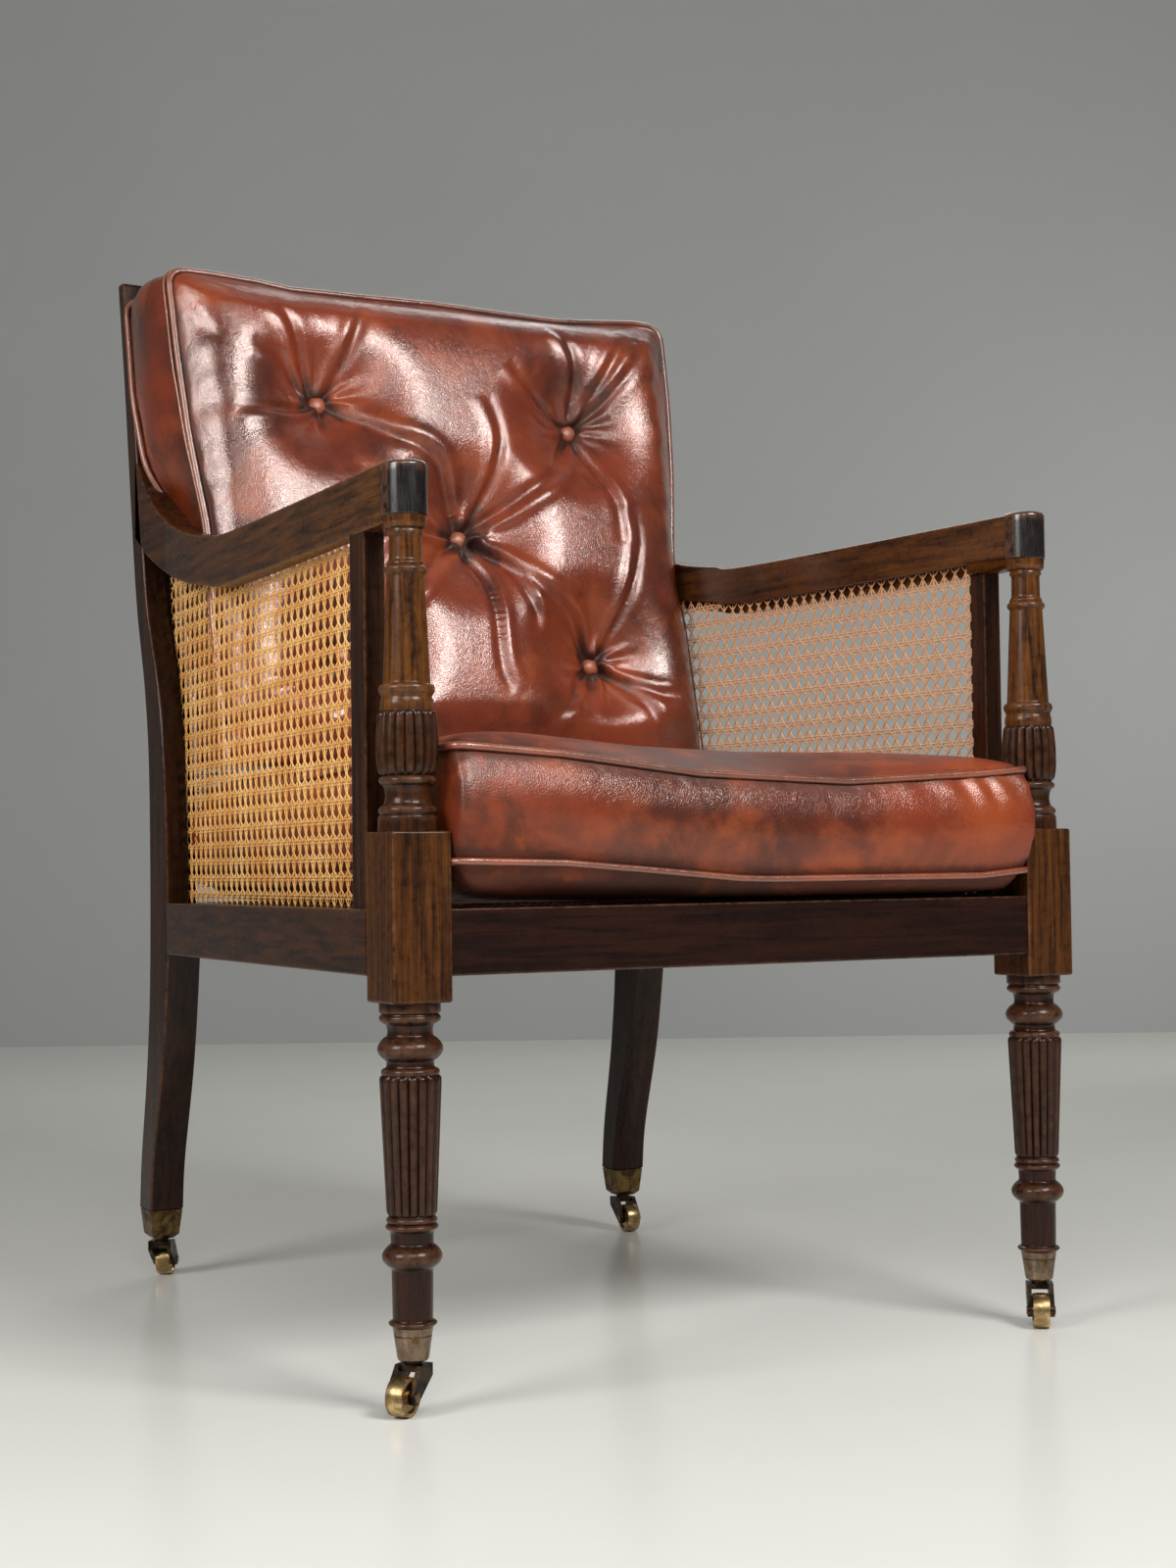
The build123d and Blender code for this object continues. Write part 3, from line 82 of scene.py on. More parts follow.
# Each point replaced by the mean of its neighbours, weighted by the kernel.
def smoothOver(line, kernel):
    reach = len(kernel) // 2
    padded = np.vstack([np.repeat(line[:1], reach, 0), line, np.repeat(line[-1:], reach, 0)])
    return np.stack([np.convolve(padded[:, k], kernel / kernel.sum(), "valid")
                     for k in range(line.shape[1])], 1)


# Closed outline through corners: each side bows inward by draw times its share of the longest side, and the
# corners are rounded by averaging the line over the length soft, at count even points.
def softLoop(corners, draw, soft, count):
    c = np.asarray(corners, float)
    ahead = np.roll(c, -1, axis=0)
    length = np.linalg.norm(ahead - c, axis=1)
    line = []
    for a, b, run in zip(c, ahead, length):
        t = np.linspace(0, 1, max(3, int(run)), endpoint=False)[:, None]
        normal = np.array([b[1] - a[1], a[0] - b[0]]) / run
        inward = np.sign((c.mean(0) - (a + b) / 2) @ normal)
        bow = draw * run / length.max() * 4 * t * (1 - t)
        line.append(a + (b - a) * t + normal * inward * bow)
    dense = evenly(np.vstack(line), loopSamples)
    width = max(1, int(loopSamples * soft / length.sum()) // 2)
    wrapped = np.vstack([dense[-width:], dense, dense[:width]])
    total = np.vstack([[[0, 0]], np.cumsum(wrapped, axis=0)])
    average = (total[2 * width + 1:] - total[:-2 * width - 1]) / (2 * width + 1)
    start = int(np.argmin(np.linalg.norm(average - (c[0] + ahead[0]) / 2, axis=1)))
    return evenly(np.roll(average, -start, axis=0), count)


# 0 below low, 1 above high, and smooth between.
def fade(x, low, high):
    t = np.clip((x - low) / (high - low), 0, 1)
    return t * t * (3 - 2 * t)


# 1 at zero, and 0.37 at the reach.
def bell(x, reach, power=2):
    return np.exp(-((x / reach) ** power))


def unit(vectors):
    return vectors / np.linalg.norm(vectors, axis=-1, keepdims=True)


# Angles of even steps round a circle.
def around(count):
    return np.arange(count) * 2 * math.pi / count


# Meshes
# Closed skin over rings[i, j], each ring a loop of points. The last ring joins the first, or a fan to each
# end ring's middle closes it. wear goes with the points.
def ringShell(rings, wear=None, closed=False):
    rows, columns = rings.shape[:2]
    i = np.arange(rows if closed else rows - 1)[:, None]
    j = np.arange(columns)[None, :]
    nextRow, nextColumn = (i + 1) % rows, (j + 1) % columns
    quads = np.stack([i * columns + j, i * columns + nextColumn, nextRow * columns + nextColumn,
                      nextRow * columns + j], -1).reshape(-1, 4)
    points = rings.reshape(-1, 3)
    wear = np.zeros(points.shape[0]) if wear is None else np.broadcast_to(wear, (rows, columns)).ravel()
    tris = np.zeros((0, 3), int)
    if not closed:
        low, high, last = len(points), len(points) + 1, (rows - 1) * columns
        points = np.vstack([points, rings[0].mean(0), rings[-1].mean(0)])
        wear = np.concatenate([wear, [0, 0]])
        k = np.arange(columns)
        after = (k + 1) % columns
        tris = np.vstack([np.stack([after, k, np.full(columns, low)], 1),
                          np.stack([last + k, last + after, np.full(columns, high)], 1)])
    return {"points": points, "quads": quads, "tris": tris, "wear": wear}


# Signed volume: a third of the sum of each triangle's dot of corner and cross product.
def volumeOf(shell):
    p, q = shell["points"], shell["quads"]
    t = np.vstack([q[:, [0, 1, 2]], q[:, [0, 2, 3]], shell["tris"]])
    return np.einsum("ij,ij->i", p[t[:, 0]], np.cross(p[t[:, 1]], p[t[:, 2]])).sum() / 6


# One mesh object of closed shells, with faces outward, in metres. sharp is the angle in degrees past which
# an edge stays crisp.
def makePiece(name, shells, sharp=None):
    points, wear, amber, corners, sizes, start = [], [], [], [], [], 0
    for shell in shells:
        flip = -1 if volumeOf(shell) < 0 else 1
        for faces in (shell["quads"], shell["tris"]):
            if len(faces):
                corners.append((faces[:, ::flip] + start).ravel())
                sizes.append(np.full(len(faces), faces.shape[1]))
        points.append(shell["points"])
        wear.append(shell["wear"])
        amber.append(np.broadcast_to(shell.get("amber", 0.5), len(shell["points"])))
        start += len(shell["points"])
    corners, sizes = np.concatenate(corners).astype(np.int32), np.concatenate(sizes)
    starts = np.concatenate([[0], np.cumsum(sizes)[:-1]]).astype(np.int32)
    mesh = bpy.data.meshes.new(name)
    mesh.vertices.add(start)
    mesh.loops.add(len(corners))
    mesh.polygons.add(len(sizes))
    mesh.vertices.foreach_set("co", (np.vstack(points) / perMetre).astype(np.float32).ravel())
    mesh.loops.foreach_set("vertex_index", corners)
    mesh.polygons.foreach_set("loop_start", starts)
    mesh.update(calc_edges=True)
    mesh.validate()
    mesh.shade_smooth()
    if sharp is not None:
        mesh.set_sharp_from_angle(angle=math.radians(sharp))
    setAttribute(mesh, "wear", np.concatenate(wear))
    setAttribute(mesh, "amber", np.concatenate(amber))
    return placed(name, mesh)


# A new object in the scene.
def placed(name, data):
    made = bpy.data.objects.new(name, data)
    bpy.context.scene.collection.objects.link(made)
    return made


def setAttribute(mesh, name, values):
    layer = mesh.attributes.get(name) or mesh.attributes.new(name, "FLOAT", "POINT")
    layer.data.foreach_set("value", np.full(len(mesh.vertices), values, np.float32))


# The mesh's points in millimetres.
def placesOf(mesh):
    co = np.zeros(len(mesh.vertices) * 3, np.float32)
    mesh.vertices.foreach_get("co", co)
    return co.reshape(-1, 3).astype(float) * perMetre


# Each vertex's normal.
def normalsOf(mesh):
    flat = np.zeros(len(mesh.vertices) * 3)
    mesh.vertices.foreach_get("normal", flat)
    return flat.reshape(-1, 3)


def putPlaces(mesh, points):
    mesh.vertices.foreach_set("co", (points / perMetre).astype(np.float32).ravel())
    mesh.update()


# Gives a piece its finish, the body that it rides on and the CAD nodes that it stands for.
def dress(piece, material, body, slot, *nodes):
    piece.data.materials.clear()
    piece.data.materials.append(material)
    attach(piece, body)
    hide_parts(*nodes)


def dressWood(piece, finish, node):
    dress(piece, finishes[finish], "frame", "mahogany", node)


def dressCane(name, finish, shells, node):
    dress(makePiece(name, shells), finishes[finish], "frame", "cane", node)


# Materials
# A colour as screens write it, from 0 to 255, made linear for the shader.
def rgb(red, green, blue):
    return tuple(((c / 255 + 0.055) / 1.055) ** 2.4 if c > 10 else c / 255 / 12.92
                 for c in (red, green, blue)) + (1.0,)


# Adds a node. inputs holds a value, or another node's output, for each socket.
def put(tree, kind, inputs=None, **settings):
    made = tree.nodes.new("ShaderNode" + kind)
    for key, value in settings.items():
        setattr(made, key, value)
    for key, value in (inputs or {}).items():
        if isinstance(value, bpy.types.NodeSocket):
            tree.links.new(value, made.inputs[key])
        else:
            made.inputs[key].default_value = value
    return made


# A material with one principled shader, whose plain sockets are set from shader.
def newMaterial(name, **shader):
    material = bpy.data.materials.new(name)
    material.use_nodes = True
    tree = material.node_tree
    surface = tree.nodes["Principled BSDF"]
    for key, value in shader.items():
        surface.inputs[key.replace("_", " ")].default_value = value
    return material, tree, surface


def noiseAt(tree, where, scale, detail=4.0, rough=0.55, twist=0.0):
    made = put(tree, "TexNoise", {"Vector": where, "Scale": scale, "Detail": detail, "Roughness": rough,
                                  "Distortion": twist})
    return made.outputs["Fac"]


def stretched(tree, where, scale, turn=(0, 0, 0)):
    return put(tree, "Mapping", {"Vector": where, "Scale": scale, "Rotation": turn}).outputs["Vector"]


# 0 below low and 1 above high, with a smooth step between.
def level(tree, value, low, high):
    return put(tree, "MapRange", {"Value": value, "From Min": low, "From Max": high},
               interpolation_type="SMOOTHSTEP").outputs["Result"]


def calc(tree, operation, a, b=0.0, clamp=False):
    return put(tree, "Math", {0: a, 1: b}, operation=operation, use_clamp=clamp).outputs[0]


# A straight line from toLow at low to toHigh at high, level outside.
def ramp(tree, value, low, high, toLow, toHigh):
    return put(tree, "MapRange", {"Value": value, "From Min": low, "From Max": high, "To Min": toLow,
                                  "To Max": toHigh}).outputs["Result"]


def mix(tree, share, a, b):
    made = put(tree, "Mix", data_type="RGBA", blend_type="MIX")
    for key, value in ((0, share), (6, a), (7, b)):
        if isinstance(value, bpy.types.NodeSocket):
            tree.links.new(value, made.inputs[key])
        else:
            made.inputs[key].default_value = value
    return made.outputs[2]


# The colour moved toward the tone by share times amount.
def tint(tree, colour, tone, share, amount):
    return mix(tree, calc(tree, "MULTIPLY", share, amount, True), colour, tone)


# The sum of a by share and of b by what is left.
def blend(tree, a, b, share):
    return calc(tree, "ADD", calc(tree, "MULTIPLY", a, share), calc(tree, "MULTIPLY", b, 1 - share))


# Links outputs to the shader's sockets by name.
def join(tree, surface, **sockets):
    for key, value in sockets.items():
        tree.links.new(value, surface.inputs[key.replace("_", " ")])


def bump(tree, height, strength, distance, under=None):
    inputs = {"Height": height, "Strength": strength, "Distance": distance}
    if under is not None:
        inputs["Normal"] = under
    return put(tree, "Bump", inputs).outputs["Normal"]


def objectPlace(tree):
    return put(tree, "TexCoord").outputs["Object"]


def attribute(tree, name):
    return put(tree, "Attribute", attribute_name=name).outputs["Fac"]


mahoganyTones = {
    "pore": rgb(10, 5, 4),
    "deep": rgb(21, 9, 7),
    "body": rgb(42, 20, 12),
    "warm": rgb(112, 66, 24),
    "rubbed": rgb(126, 84, 58),
}


# Old french-polished mahogany: long grain streaks and pores along the grain axis, golden brown where the
# amber attribute and the streaks are high, and paler arrises where wear is high.
def mahogany(name, grain, warmth):
    material, tree, surface = newMaterial(name, Specular_IOR_Level=0.12, Coat_Weight=0.25,
                                          Coat_Roughness=0.14)
    place = objectPlace(tree)
    broad = tuple(5.0 if axis == grain else 26.0 for axis in "XYZ")
    along = tuple(9.0 if axis == grain else 210.0 for axis in "XYZ")
    fine = tuple(60.0 if axis == grain else 1700.0 for axis in "XYZ")
    figure = noiseAt(tree, stretched(tree, place, broad), 1.0, 5.0, 0.6, 0.5)
    streak = noiseAt(tree, stretched(tree, place, along), 1.0, 6.0, 0.62, 0.4)
    pores = noiseAt(tree, stretched(tree, place, fine), 1.0, 2.0, 0.6)
    fleck = noiseAt(tree, place, 130.0, 5.0, 0.65)
    tone = blend(tree, streak, figure, 0.72)
    colour = mix(tree, level(tree, tone, 0.36, 0.62), mahoganyTones["deep"], mahoganyTones["body"])
    gold = level(tree, blend(tree, tone, fleck, 0.8), 0.34, 0.68)
    gold = calc(tree, "MULTIPLY", gold, attribute(tree, "amber"), True)
    colour = tint(tree, colour, mahoganyTones["warm"], gold, warmth)
    rubbed = calc(tree, "MULTIPLY", attribute(tree, "wear"), level(tree, fleck, 0.26, 0.80), True)
    colour = tint(tree, colour, mahoganyTones["rubbed"], rubbed, 0.5)
    colour = tint(tree, colour, mahoganyTones["pore"], level(tree, pores, 0.58, 0.70), 0.55)
    normal = bump(tree, pores, 0.22, 0.0003)
    normal = bump(tree, streak, 0.12, 0.0006, normal)
    normal = bump(tree, fleck, 0.15, 0.0007, normal)
    join(tree, surface, Base_Color=colour, Roughness=ramp(tree, fleck, 0.3, 0.7, 0.22, 0.40), Normal=normal)
    return material


# Near-black polished wood with amber rubbed arrises and faint scratches along its height.
def ebonised(name):
    material, tree, surface = newMaterial(name, Specular_IOR_Level=0.5, Coat_Weight=0.5,
                                          Coat_Roughness=0.12)
    place = objectPlace(tree)
    scratch = noiseAt(tree, stretched(tree, place, (700.0, 700.0, 60.0)), 1.0, 3.0, 0.6)
    fleck = noiseAt(tree, place, 160.0, 5.0, 0.65)
    colour = mix(tree, level(tree, fleck, 0.4, 0.75), rgb(9, 6, 6), rgb(34, 18, 15))
    rubbed = calc(tree, "MULTIPLY", attribute(tree, "wear"), level(tree, fleck, 0.34, 0.6), True)
    join(tree, surface, Base_Color=tint(tree, colour, rgb(140, 92, 60), rubbed, 0.8),
         Roughness=ramp(tree, scratch, 0.3, 0.75, 0.18, 0.4), Normal=bump(tree, scratch, 0.15, 0.0003))
    return material


# Split cane: satin straw, streaked along the strands and darker here and there with age. Where the amber
# attribute is low it has faded to tan.
def wovenCane(name, straw, shadow, faded):
    material, tree, surface = newMaterial(name, Specular_IOR_Level=0.5, Roughness=0.42)
    place = objectPlace(tree)
    fleck = noiseAt(tree, place, 420.0, 4.0, 0.6)
    patch = noiseAt(tree, place, 22.0, 4.0, 0.6)
    colour = mix(tree, level(tree, patch, 0.38, 0.66), shadow, straw)
    colour = mix(tree, calc(tree, "SUBTRACT", 1.0, attribute(tree, "amber"), True), colour, faded)
    colour = tint(tree, colour, rgb(132, 88, 48), level(tree, fleck, 0.55, 0.78), 0.45)
    colour = tint(tree, colour, rgb(96, 62, 36), attribute(tree, "wear"), 0.6)
    join(tree, surface, Base_Color=colour, Normal=bump(tree, fleck, 0.2, 0.0002))
    return material


leatherTones = {
    # Near-black: painted shade in pits, folds, along seams and under the seat, and also real smudges and
    # specks.
    "shadeAndSmudge": rgb(26, 9, 6),
    "deep": rgb(70, 24, 11),
    "body": rgb(124, 46, 17),
    "light": rgb(158, 70, 25),
    "tan": rgb(188, 116, 84),
}


# Hand-coloured hide under wax: chestnut drifting to cognac, nearly black as painted shade where its
# attribute of painted shade is high and in sparse smudges, and tan where the wear attribute is high, which on
# the piping's crest is partly wear and partly a painted highlight. A cracked grain breaks up the shine, which
# is matt where the painted shade or the amber attribute is high.
def leather(name, mottle, shine, darkness=0.0, coat=1.0):
    material, tree, surface = newMaterial(name, Specular_IOR_Level=0.8, Specular_Tint=rgb(255, 208, 190),
                                          Coat_IOR=1.6, Coat_Roughness=shine)
    place = objectPlace(tree)
    cloud = noiseAt(tree, place, 6.0, 4.0, 0.55, 0.2)
    drift = noiseAt(tree, place, 17.0, 5.0, 0.6, 0.3)
    smudge = noiseAt(tree, place, 30.0, 5.0, 0.62, 0.5)
    fleck = noiseAt(tree, place, 260.0, 4.0, 0.6)
    grain = put(tree, "TexVoronoi", {"Vector": place, "Scale": 520.0, "Randomness": 1.0},
                feature="DISTANCE_TO_EDGE").outputs["Distance"]
    crease = noiseAt(tree, place, 70.0, 4.0, 0.55, 1.2)
    colour = mix(tree, level(tree, cloud, 0.38, 0.62), leatherTones["deep"], leatherTones["body"])
    colour = tint(tree, colour, leatherTones["light"], level(tree, drift, 0.46, 0.7), 0.6)
    # Painted shade from its attribute, together with real smudges, darkens the hide toward near-black.
    stray = calc(tree, "MULTIPLY", calc(tree, "SUBTRACT", smudge, 0.5), 2.2)
    dark = level(tree, calc(tree, "ADD", attribute(tree, "shadeAndSmudge"), stray), 0.14, 0.86)
    dark = calc(tree, "ADD", calc(tree, "MULTIPLY", dark, mottle, True), darkness, True)
    colour = mix(tree, dark, colour, leatherTones["shadeAndSmudge"])
    colour = tint(tree, colour, leatherTones["tan"], attribute(tree, "wear"), 0.6)
    colour = tint(tree, colour, leatherTones["shadeAndSmudge"], level(tree, fleck, 0.6, 0.76), 0.3)
    matt = calc(tree, "ADD", attribute(tree, "shadeAndSmudge"), attribute(tree, "amber"), True)
    rough = ramp(tree, drift, 0.3, 0.7, shine, shine + 0.12)
    rough = calc(tree, "ADD", rough, calc(tree, "MULTIPLY", matt, 0.4), True)
    polish = calc(tree, "SUBTRACT", coat, calc(tree, "MULTIPLY", matt, coat), True)
    normal = bump(tree, level(tree, grain, 0.0, 0.25), 0.24, 0.0003)
    normal = bump(tree, crease, 0.28, 0.0013, normal)
    join(tree, surface, Base_Color=colour, Roughness=rough, Normal=normal, Coat_Normal=normal,
         Coat_Weight=polish)
    return material


# Old cast metal: bright where it is rubbed, dull and stained in patches, fine pits and scratches.
def agedMetal(name, bright, dull, stain, low, high):
    material, tree, surface = newMaterial(name, Metallic=1.0)
    place = objectPlace(tree)
    patch = noiseAt(tree, place, 90.0, 5.0, 0.65, 0.5)
    fleck = noiseAt(tree, place, 520.0, 4.0, 0.6)
    scratch = noiseAt(tree, stretched(tree, place, (1800.0, 1800.0, 240.0), (0.5, 0.3, 0.2)), 1.0, 2.0)
    colour = mix(tree, level(tree, patch, 0.38, 0.62), dull, bright)
    colour = tint(tree, colour, stain, level(tree, fleck, 0.52, 0.72), 0.6)
    normal = bump(tree, fleck, 0.2, 0.0003, bump(tree, scratch, 0.12, 0.0002))
    join(tree, surface, Base_Color=colour, Roughness=ramp(tree, patch, 0.35, 0.65, high, low), Normal=normal)
    return material


finishes = {
    "upright": mahogany("mahoganyUpright", "Z", 1.0),
    "across": mahogany("mahoganyAcross", "X", 0.6),
    "along": mahogany("mahoganyAlong", "Y", 1.0),
    "terminals": ebonised("ebonisedTerminals"),
    "cane": wovenCane("strawCane", rgb(252, 200, 124), rgb(236, 172, 92), rgb(236, 184, 146)),
    "leather": leather("chestnutLeather", 0.95, 0.22),
    "seatLeather": leather("chestnutSeatLeather", 0.75, 0.22, 0.0, 0.6),
    "piping": leather("pipingLeather", 0.5, 0.24),
    "brownPiping": leather("brownPipingLeather", 0.5, 0.24, 0.3),
    "darkPiping": leather("darkPipingLeather", 0.5, 0.24, 0.55),
    # The seat's cane: a darker copy of the straw, darker with age and with painted shade from the cushion
    # above.
    "paintedShadeCane": wovenCane("paintedShadeCane", rgb(150, 104, 60), rgb(118, 78, 44), rgb(128, 88, 54)),
    "bronzeCups": agedMetal("bronzeCups", rgb(134, 114, 94), rgb(104, 88, 74), rgb(66, 54, 46), 0.28, 0.42),
    "brassCups": agedMetal("brassCups", rgb(128, 102, 62), rgb(72, 56, 40), rgb(34, 26, 22), 0.32, 0.5),
    "bronzeHorns": agedMetal("bronzeHorns", rgb(74, 58, 44), rgb(34, 26, 22), rgb(20, 16, 14), 0.25, 0.45),
    "wheelBrass": agedMetal("wheelBrass", rgb(204, 176, 126), rgb(146, 120, 82), rgb(70, 54, 36), 0.24, 0.40),
    "smallBrass": agedMetal("smallBrass", rgb(150, 122, 80), rgb(88, 68, 46), rgb(40, 30, 24), 0.25, 0.42),
}
print("materials made")


# Wood sections and bars
sectionPlan = {"arcSteps": 4, "hold": 0.8, "arrisWear": 0.4}


# Rounded rectangle as (x, y, wear): a quarter arc at each corner, with a holding point on the flats each
# side of it so that the flats shade flat. Wear is highest in the middle of the arcs.
def barSection(width, height, rounding):
    hold, least = sectionPlan["hold"], sectionPlan["arrisWear"]
    t = np.linspace(0, math.pi / 2, sectionPlan["arcSteps"] + 1)
    parts = []
    for k, (sx, sy) in enumerate([(1, -1), (1, 1), (-1, 1), (-1, -1)]):
        angle = t + (k - 1) * math.pi / 2
        cx, cy = sx * (width / 2 - rounding), sy * (height / 2 - rounding)
        arc = np.stack([cx + rounding * np.cos(angle), cy + rounding * np.sin(angle),
                        np.sin(2 * t) * (1 - least) + least], 1)
        first, last = arc[0].copy(), arc[-1].copy()
        first[:2] -= hold * np.array([-math.sin(angle[0]), math.cos(angle[0])])
        last[:2] += hold * np.array([-math.sin(angle[-1]), math.cos(angle[-1])])
        first[2] = last[2] = 0
        parts.append(np.vstack([first, arc, last]))
    return np.vstack(parts)


# The bar section with a step cut from its corner at minus x and minus y.
def rebatedSection(width, height, rounding, cutX, cutY):
    full = barSection(width, height, rounding)
    x, y = -width / 2, -height / 2
    step = np.array([[x, y + cutY + 0.8, 0], [x, y + cutY + 0.3, 0], [x + 0.3, y + cutY, 1],
                     [x + cutX - 0.4, y + cutY, 0], [x + cutX, y + cutY - 0.4, 0], [x + cutX, y + 0.5, 0],
                     [x + cutX + 0.5, y, 0]])
    return np.vstack([full[:3 * len(full) // 4], step])


# A bar through the centres: the section's x goes across and its y goes up.
def sectionShell(centres, across, up, sections):
    cut = np.array(sections)
    rings = np.asarray(centres)[:, None] + cut[..., :1] * np.asarray(across) + cut[..., 1:2] * np.asarray(up)
    return ringShell(rings, cut[..., 2])


# A straight rounded bar whose two ends are eased by the rounding.
def straightBar(start, end, across, up, width, height, rounding, steps=24):
    start, end = np.asarray(start, float), np.asarray(end, float)
    length = np.linalg.norm(end - start)
    ease, easeIn = np.array([0, 0.3, 1.0]) * rounding, np.array([1.0, 0.3, 0]) * rounding
    at = np.concatenate([ease, np.linspace(rounding + 1, length - rounding - 1, steps), length - ease[::-1]])
    inset = np.concatenate([easeIn, np.zeros(steps), easeIn[::-1]])
    centres = start + (end - start) * (at / length)[:, None]
    sections = [barSection(width - 2 * i, height - 2 * i, rounding) for i in inset]
    return sectionShell(centres, across, up, sections)


# Front posts
postPlan = {
    "axisX": 285.0, "axisY": -330.0, "half": 23.0,
    "legBottom": 60.3, "blockBottom": 287.7, "blockTop": 408.7, "top": 633.5, "edge": 1.5,
    "reeds": 18, "reedSamples": 6, "reedRows": 64, "lap": 0.5,
    "bulbSwell": ([0, 0.12, 0.3, 0.62, 1], [0.90, 0.96, 0.99, 0.985, 0.915]),
    "amber": (0.12, 0.08, 0.15, 0.62, 0.25, 0.15, 0.95),  # foot, reeds, head, block, base, bulb, shaft
    "legReeds": {"low": 138.0, "high": 237.0, "lowRadius": 17.9, "highRadius": 22.3, "depth": 2.3,
                 "tip": 4.0},
    "bulbReeds": {"low": 448.8, "high": 494.5, "radius": 22.7, "depth": 2.3, "tip": 4.0},
}
# Turned outlines from the bottom up: share of the height, radius as a share of half the block, bulge
footShares = [(0.0, 0.62, 0), (0.015, 0.70, 0), (0.0538, 0.70, 0.055), (0.06, 0.62, 0), (0.52, 0.64, 0),
              (0.54, 0.74, 0), (0.72, 0.76, 0.18), (0.745, 0.655, 0), (0.855, 0.665, 0), (0.87, 0.75, 0),
              (0.925, 0.75, 0.07), (0.93, 0.72, 0), (0.985, 0.73, 0.07), (1.0, 0.70, 0)]
headShares = [(0.0, 0.86, 0), (0.10, 0.84, 0.06), (0.135, 0.735, -0.03), (0.20, 0.735, 0),
              (0.53, 0.78, 0.26), (0.56, 0.71, -0.02), (0.70, 0.74, -0.02), (0.73, 0.87, 0),
              (0.845, 0.87, 0.09), (0.86, 0.90, 0), (0.865, 0.955, 0), (1.0, 0.955, 0)]
baseShares = [(0.0, 0.94, 0), (0.27, 0.925, 0), (0.29, 0.85, 0), (0.44, 0.85, 0.07), (0.47, 0.76, 0),
              (0.80, 0.76, -0.06), (0.82, 0.82, 0), (0.96, 0.82, 0.08), (1.0, 0.74, 0)]
shaftShares = [(0.0, 0.815, 0), (0.065, 0.80, 0.03), (0.072, 0.78, 0), (0.09, 0.83, 0), (0.135, 0.83, 0.05),
               (0.14, 0.745, 0), (0.70, 0.585, 0), (0.705, 0.63, 0), (0.74, 0.63, 0.05), (0.745, 0.57, 0),
               (0.765, 0.55, 0.03), (0.775, 0.515, 0), (0.895, 0.505, 0), (0.905, 0.545, 0),
               (0.925, 0.545, 0.03), (0.93, 0.53, 0), (0.965, 0.665, 0.06), (1.0, 0.69, 0)]


turnPlan = {"columns": 72, "dense": 0.15, "step": 0.9, "soften": 0.45, "reach": 12, "wearReach": 5,
            "wearFull": 0.5}


# A turned stretch: straight or bulging lines between the shares, softened by averaging over a short run,
# and turned about the axis. Wear grows with how far the line bends outward.
def turnedShell(shares, low, high, centre):
    half, columns, dense = postPlan["half"], turnPlan["columns"], turnPlan["dense"]
    corner = np.array([(half * r, low + (high - low) * h) for h, r, b in shares])
    line = []
    for a, b, (_, _, bulge) in zip(corner, corner[1:], shares[1:]):
        t = np.linspace(0, 1, 24, endpoint=False)[:, None]
        way = (b - a) / np.linalg.norm(b - a)
        line.append(a + (b - a) * t + np.array([way[1], -way[0]]) * half * bulge * 4 * t * (1 - t))
    line = evenly(np.vstack(line + [corner[-1:]]), step=dense)
    away = np.arange(-turnPlan["reach"], turnPlan["reach"] + 1) * dense
    profile = evenly(smoothOver(line, np.exp(-0.5 * (away / turnPlan["soften"]) ** 2)), step=turnPlan["step"])
    smooth = smoothOver(profile, np.ones(2 * turnPlan["wearReach"] + 1))
    out = np.clip((profile[:, 0] - smooth[:, 0]) / turnPlan["wearFull"], 0, 1)
    theta = around(columns)
    rings = np.stack([
        centre[0] + profile[:, 0, None] * np.cos(theta),
        centre[1] + profile[:, 0, None] * np.sin(theta),
        np.repeat(profile[:, 1:2], columns, 1),
    ], -1)
    return ringShell(rings, np.repeat(out[:, None], columns, 1))


# A reeded stretch: each reed is half an ellipse across, whose ends close like fingertips. The radius is the
# valley's plus depth times the root of 1 - across^2 - (distance into the tip)^2.
def reededShell(plan, radii, centre):
    reeds, samples = postPlan["reeds"], postPlan["reedSamples"]
    columns = reeds * samples
    z = np.linspace(plan["low"], plan["high"], len(radii))
    ends = np.minimum(z - plan["low"], plan["high"] - z) / plan["tip"]
    into = 1 - np.clip(ends, 0, 1)
    across = 2 * (np.arange(columns) % samples) / samples - 1
    height = np.sqrt(np.clip(1 - across[None, :] ** 2 - into[:, None] ** 2, 0, None))
    radius = radii[:, None] - plan["depth"] * (1 - height)
    theta = around(columns)
    rings = np.stack([
        centre[0] + radius * np.cos(theta),
        centre[1] + radius * np.sin(theta),
        np.repeat(z[:, None], columns, 1),
    ], -1)
    return ringShell(rings, np.clip(height * 1.6 - 0.9, 0, 1) * 0.8)


